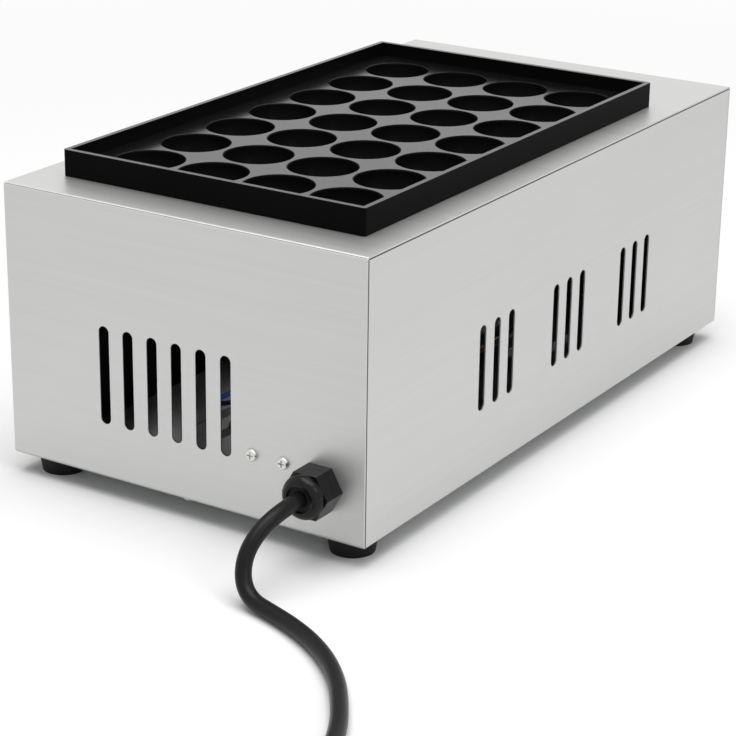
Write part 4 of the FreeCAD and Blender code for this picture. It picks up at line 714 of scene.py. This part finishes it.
def coil_tie(paint):
    """A flat strap round the strands on the coil's far side. Its loop is the superellipse of power 4
    round the angle v, in the upright plane through the coil's middle. The rows are the eight corners of
    its section, given by how far across and how far out they lie."""
    out, middle = coil_frame()
    top = CORD_ON_FLOOR + COIL_LAYER + CORD_RADIUS + TIE_ABOVE
    v = np.linspace(0.0, 2 * np.pi, TIE_STEPS, endpoint=False)[None, :]
    across = np.array([-1, -0.9, 0.9, 1, 1, 0.9, -0.9, -1])[:, None] * TIE_WIDTH / 2
    lift = np.array([0.2, 1, 1, 0.2, -0.2, -1, -1, -0.2])[:, None] * TIE_THICKNESS / 2
    half_wide = COIL_PITCH / 2 + CORD_RADIUS + TIE_SLACK - TIE_THICKNESS / 2 + lift
    half_tall = (top - TIE_BOTTOM) / 2 - TIE_THICKNESS / 2 + lift
    radial = COIL_RADIUS - COIL_PITCH + half_wide * np.sign(np.cos(v)) * np.sqrt(np.abs(np.cos(v)))
    z = (top + TIE_BOTTOM) / 2 + half_tall * np.sign(np.sin(v)) * np.sqrt(np.abs(np.sin(v)))
    flat = (np.array(middle)[None, None, :2]
            + radial[..., None] * np.array(out)[None, None, :2]
            + across[..., None] * np.array(COIL_HEADING)[None, None, :2])
    points = np.concatenate([flat, z[..., None]], -1)
    points = np.concatenate([points, points[:1]], 0)
    faces = grid_faces(len(points), TIE_STEPS)
    return mesh_piece("coil_tie", points.reshape(-1, 3), faces, paint, "housing")


def coil_points():
    """Control points of the stored turns: half circles whose two ends lie at changing distances from
    the middle, widened by one over the cosine of half a step so that the smooth line has their radius.
    Height rises as half of one minus cosine in the half turn that climbs."""
    out, middle = coil_frame()
    side = -out
    radius = COIL_RADIUS
    low, high = CORD_ON_FLOOR, CORD_ON_FLOOR + COIL_LAYER
    halves = []
    for _ in range(COIL_HALVES_IN):
        halves.append((radius, radius - COIL_PITCH / 2, low, low))
        radius -= COIL_PITCH / 2
    halves.append((radius, radius, low, high))
    for _ in range(COIL_HALVES_OUT):
        halves.append((radius, radius + COIL_PITCH / 2, high, high))
        radius += COIL_PITCH / 2
    angle = (np.arange(POINTS_PER_HALF) + 0.5) * np.pi / POINTS_PER_HALF
    widen = 1 / math.cos(np.pi / POINTS_PER_HALF / 2)
    points = []
    sign = 1
    for r0, r1, z0, z1 in halves:
        centre = middle + side * (sign * (r0 - r1) / 2)
        reach = widen * (r0 + r1) / 2
        flat = (np.array(centre)[None, :]
                + np.outer(np.cos(angle) * sign * reach, np.array(side))
                + np.outer(np.sin(angle) * sign * reach, np.array(COIL_HEADING)))
        flat[:, 2] = z0 + (z1 - z0) * (1 - np.cos(angle)) / 2
        points += flat.tolist()
        sign = -sign
    end = middle + side * (sign * radius)
    end.z = high
    return points, end, COIL_HEADING * sign


class TAKOYAKI_OT_cord(bpy.types.Operator):
    """Make the supply cord as one smooth line from the gland to the plug, with its stored coil"""

    bl_idname = "takoyaki.cord"
    bl_label = "Supply cord"

    def execute(self, context):
        sizes = context.scene.takoyaki_cord
        rubber = moulded("cord_rubber", colour(sizes.rubber), 0.32, 260.0, 0.03, 0.16)
        dress(rubber, "plug_body", "lead_in")
        turns, end, heading = coil_points()
        plug = Vector((end.x, end.y, 0)) + heading * (COIL_STRAIGHT + TAIL_LENGTH)
        plug.z = PLUG_AXIS_Z
        points = [
            GLAND_MOUTH,
            GLAND_MOUTH + Vector((0, CORD_FIRST_RUN, 0)),
            *CORD_ROUTE,
            COIL_ENTRY - COIL_HEADING * COIL_LAST_RUN,
            COIL_ENTRY - COIL_HEADING * COIL_STRAIGHT,
            *turns,
            end + heading * COIL_STRAIGHT,
            end + heading * (COIL_STRAIGHT + TAIL_RUN),
            plug - heading * TAIL_RUN,
            plug,
        ]
        curve = bpy.data.curves.new("supply_cord", "CURVE")
        curve.dimensions = "3D"
        spline = curve.splines.new("NURBS")
        spline.points.add(len(points) - 1)
        for point, place in zip(spline.points, points):
            point.co = (*place, 1.0)
        spline.order_u = 3
        spline.use_endpoint_u = True
        curve.resolution_u = CORD_STEPS
        curve.bevel_depth = sizes.radius
        curve.bevel_resolution = CORD_ROUNDNESS
        curve.use_fill_caps = True
        curve.materials.append(rubber)
        cord = bpy.data.objects.new("supply_cord", curve)
        context.scene.collection.objects.link(cord)
        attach(cord, "housing")
        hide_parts("power_cord", "cord_coil", "cord_tail")
        tie = coil_tie(moulded("tie_nylon", (0.012, 0.012, 0.012), 0.4, shine=0.3))
        return {"FINISHED"}


class TAKOYAKI_OT_stage(bpy.types.Operator):
    """Pale floor, white surroundings, soft lamps and the camera"""

    bl_idname = "takoyaki.stage"
    bl_label = "Stage"

    def execute(self, context):
        light = context.scene.takoyaki_light
        make_floor()
        make_world(light.world)
        add_lamp("overhead_lamp", LAMP_PLACE, LAMP_TARGET, LAMP_SIZE, light.key)
        add_lamp("side_lamp", SIDE_LAMP_PLACE, SIDE_LAMP_TARGET, SIDE_LAMP_SIZE,
                 light.key * SIDE_LAMP_SHARE)
        make_camera(context.scene)
        return {"FINISHED"}


def camera_rays(shader):
    """One where the ray comes from the camera, or through glass, or from a glossy surface."""
    path = shader.node("ShaderNodeLightPath")
    rays = path["Is Camera Ray"] + path["Is Glossy Ray"] + path["Is Transmission Ray"]
    return rays.math("MINIMUM", 1.0)


def make_floor():
    """Square floor under the object: pale, and fading to plain white away from it."""
    mesh = bpy.data.meshes.new("floor")
    corners = [(x * FLOOR_REACH, y * FLOOR_REACH, 0) for x, y in ((-1, -1), (1, -1), (1, 1), (-1, 1))]
    mesh.from_pydata(corners, [], [(0, 1, 2, 3)])
    shader = Shader("floor_paint")
    paint = shader.node("ShaderNodeBsdfDiffuse", None, Color=FLOOR_PAINT)["BSDF"]
    far = shader.node("ShaderNodeEmission", None, Color=WHITE, Strength=1.0)["Emission"]
    x, y, _ = shader.parts()
    away = ((x * x + y * y).math("SQRT") - FADE_START) * FADE_PER_METRE
    share = away.math("MINIMUM", 1.0).math("MAXIMUM", 0.0) * camera_rays(shader)
    mesh.materials.append(shader.finish(shader.mix(share, paint, far)))
    floor = bpy.data.objects.new("floor", mesh)
    bpy.context.scene.collection.objects.link(floor)


def make_world(strength):
    """Even white light, seen as plain white by the camera and in reflections."""
    world = bpy.data.worlds.new("studio")
    bpy.context.scene.world = world
    shader = Shader(world)
    even, seen = (
        shader.node("ShaderNodeBackground", None, Color=WHITE, Strength=level)["Background"]
        for level in (strength, 1.0)
    )
    shader.finish(shader.mix(camera_rays(shader), even, seen))


def add_lamp(name, place, target, size, power):
    """A large square lamp that faces a point."""
    data = bpy.data.lights.new(name, "AREA")
    data.size = size
    data.energy = power
    lamp = bpy.data.objects.new(name, data)
    lamp.location = place
    lamp.rotation_euler = (Vector(target) - Vector(place)).to_track_quat("-Z", "Y").to_euler()
    bpy.context.scene.collection.objects.link(lamp)


def make_camera(scene):
    """Camera from yaw, pitch down and roll: forward, right and up vectors make its matrix."""
    forward = Vector((
        math.cos(CAMERA_PITCH) * math.cos(CAMERA_YAW),
        math.cos(CAMERA_PITCH) * math.sin(CAMERA_YAW),
        -math.sin(CAMERA_PITCH),
    ))
    right = forward.cross(Vector((0, 0, 1))).normalized()
    up = right.cross(forward)
    turned_right = right * math.cos(CAMERA_ROLL) + up * math.sin(CAMERA_ROLL)
    turned_up = up * math.cos(CAMERA_ROLL) - right * math.sin(CAMERA_ROLL)
    data = bpy.data.cameras.new("camera")
    data.sensor_fit = "HORIZONTAL"
    data.sensor_width = SENSOR_MM
    data.lens = FOCAL_SHARE * SENSOR_MM
    data.clip_start = 0.01
    camera = bpy.data.objects.new("camera", data)
    rotation = Matrix((turned_right, turned_up, -forward)).transposed()
    camera.matrix_world = Matrix.Translation(CAMERA_PLACE) @ rotation.to_4x4()
    scene.collection.objects.link(camera)
    scene.camera = camera
    scene.view_settings.view_transform = "Standard"


class TAKOYAKI_PT_panel(bpy.types.Panel):
    """The steps that dress the takoyaki maker"""

    bl_label = "Takoyaki maker"
    bl_idname = "TAKOYAKI_PT_panel"
    bl_space_type = "VIEW_3D"
    bl_region_type = "UI"
    bl_category = "Takoyaki"

    def draw(self, context):
        for step in STEPS:
            self.layout.operator(step.bl_idname)


STEPS = (
    TAKOYAKI_OT_stage,
    TAKOYAKI_OT_cord,
    TAKOYAKI_OT_housing,
    TAKOYAKI_OT_plate,
    TAKOYAKI_OT_heating,
    TAKOYAKI_OT_fasteners,
    TAKOYAKI_OT_feet,
    TAKOYAKI_OT_gland,
    TAKOYAKI_OT_wires,
    TAKOYAKI_OT_controls,
)
GROUPS = {
    "takoyaki_housing": HousingFinish,
    "takoyaki_plate": PlateFinish,
    "takoyaki_cord": CordSizes,
    "takoyaki_control": ControlSizes,
    "takoyaki_light": StageLight,
}


def register():
    """Register the property groups, the operators and the panel."""
    for name, group in GROUPS.items():
        bpy.utils.register_class(group)
        setattr(bpy.types.Scene, name, PointerProperty(type=group))
    for step in (*STEPS, TAKOYAKI_PT_panel):
        bpy.utils.register_class(step)


def unregister():
    """Take all of it out again."""
    for step in (TAKOYAKI_PT_panel, *reversed(STEPS)):
        bpy.utils.unregister_class(step)
    for name, group in GROUPS.items():
        delattr(bpy.types.Scene, name)
        bpy.utils.unregister_class(group)


def main():
    """Dress the object step by step."""
    register()
    for step in STEPS:
        group, name = step.bl_idname.split(".")
        getattr(getattr(bpy.ops, group), name)()


if __name__ == "__main__":
    main()
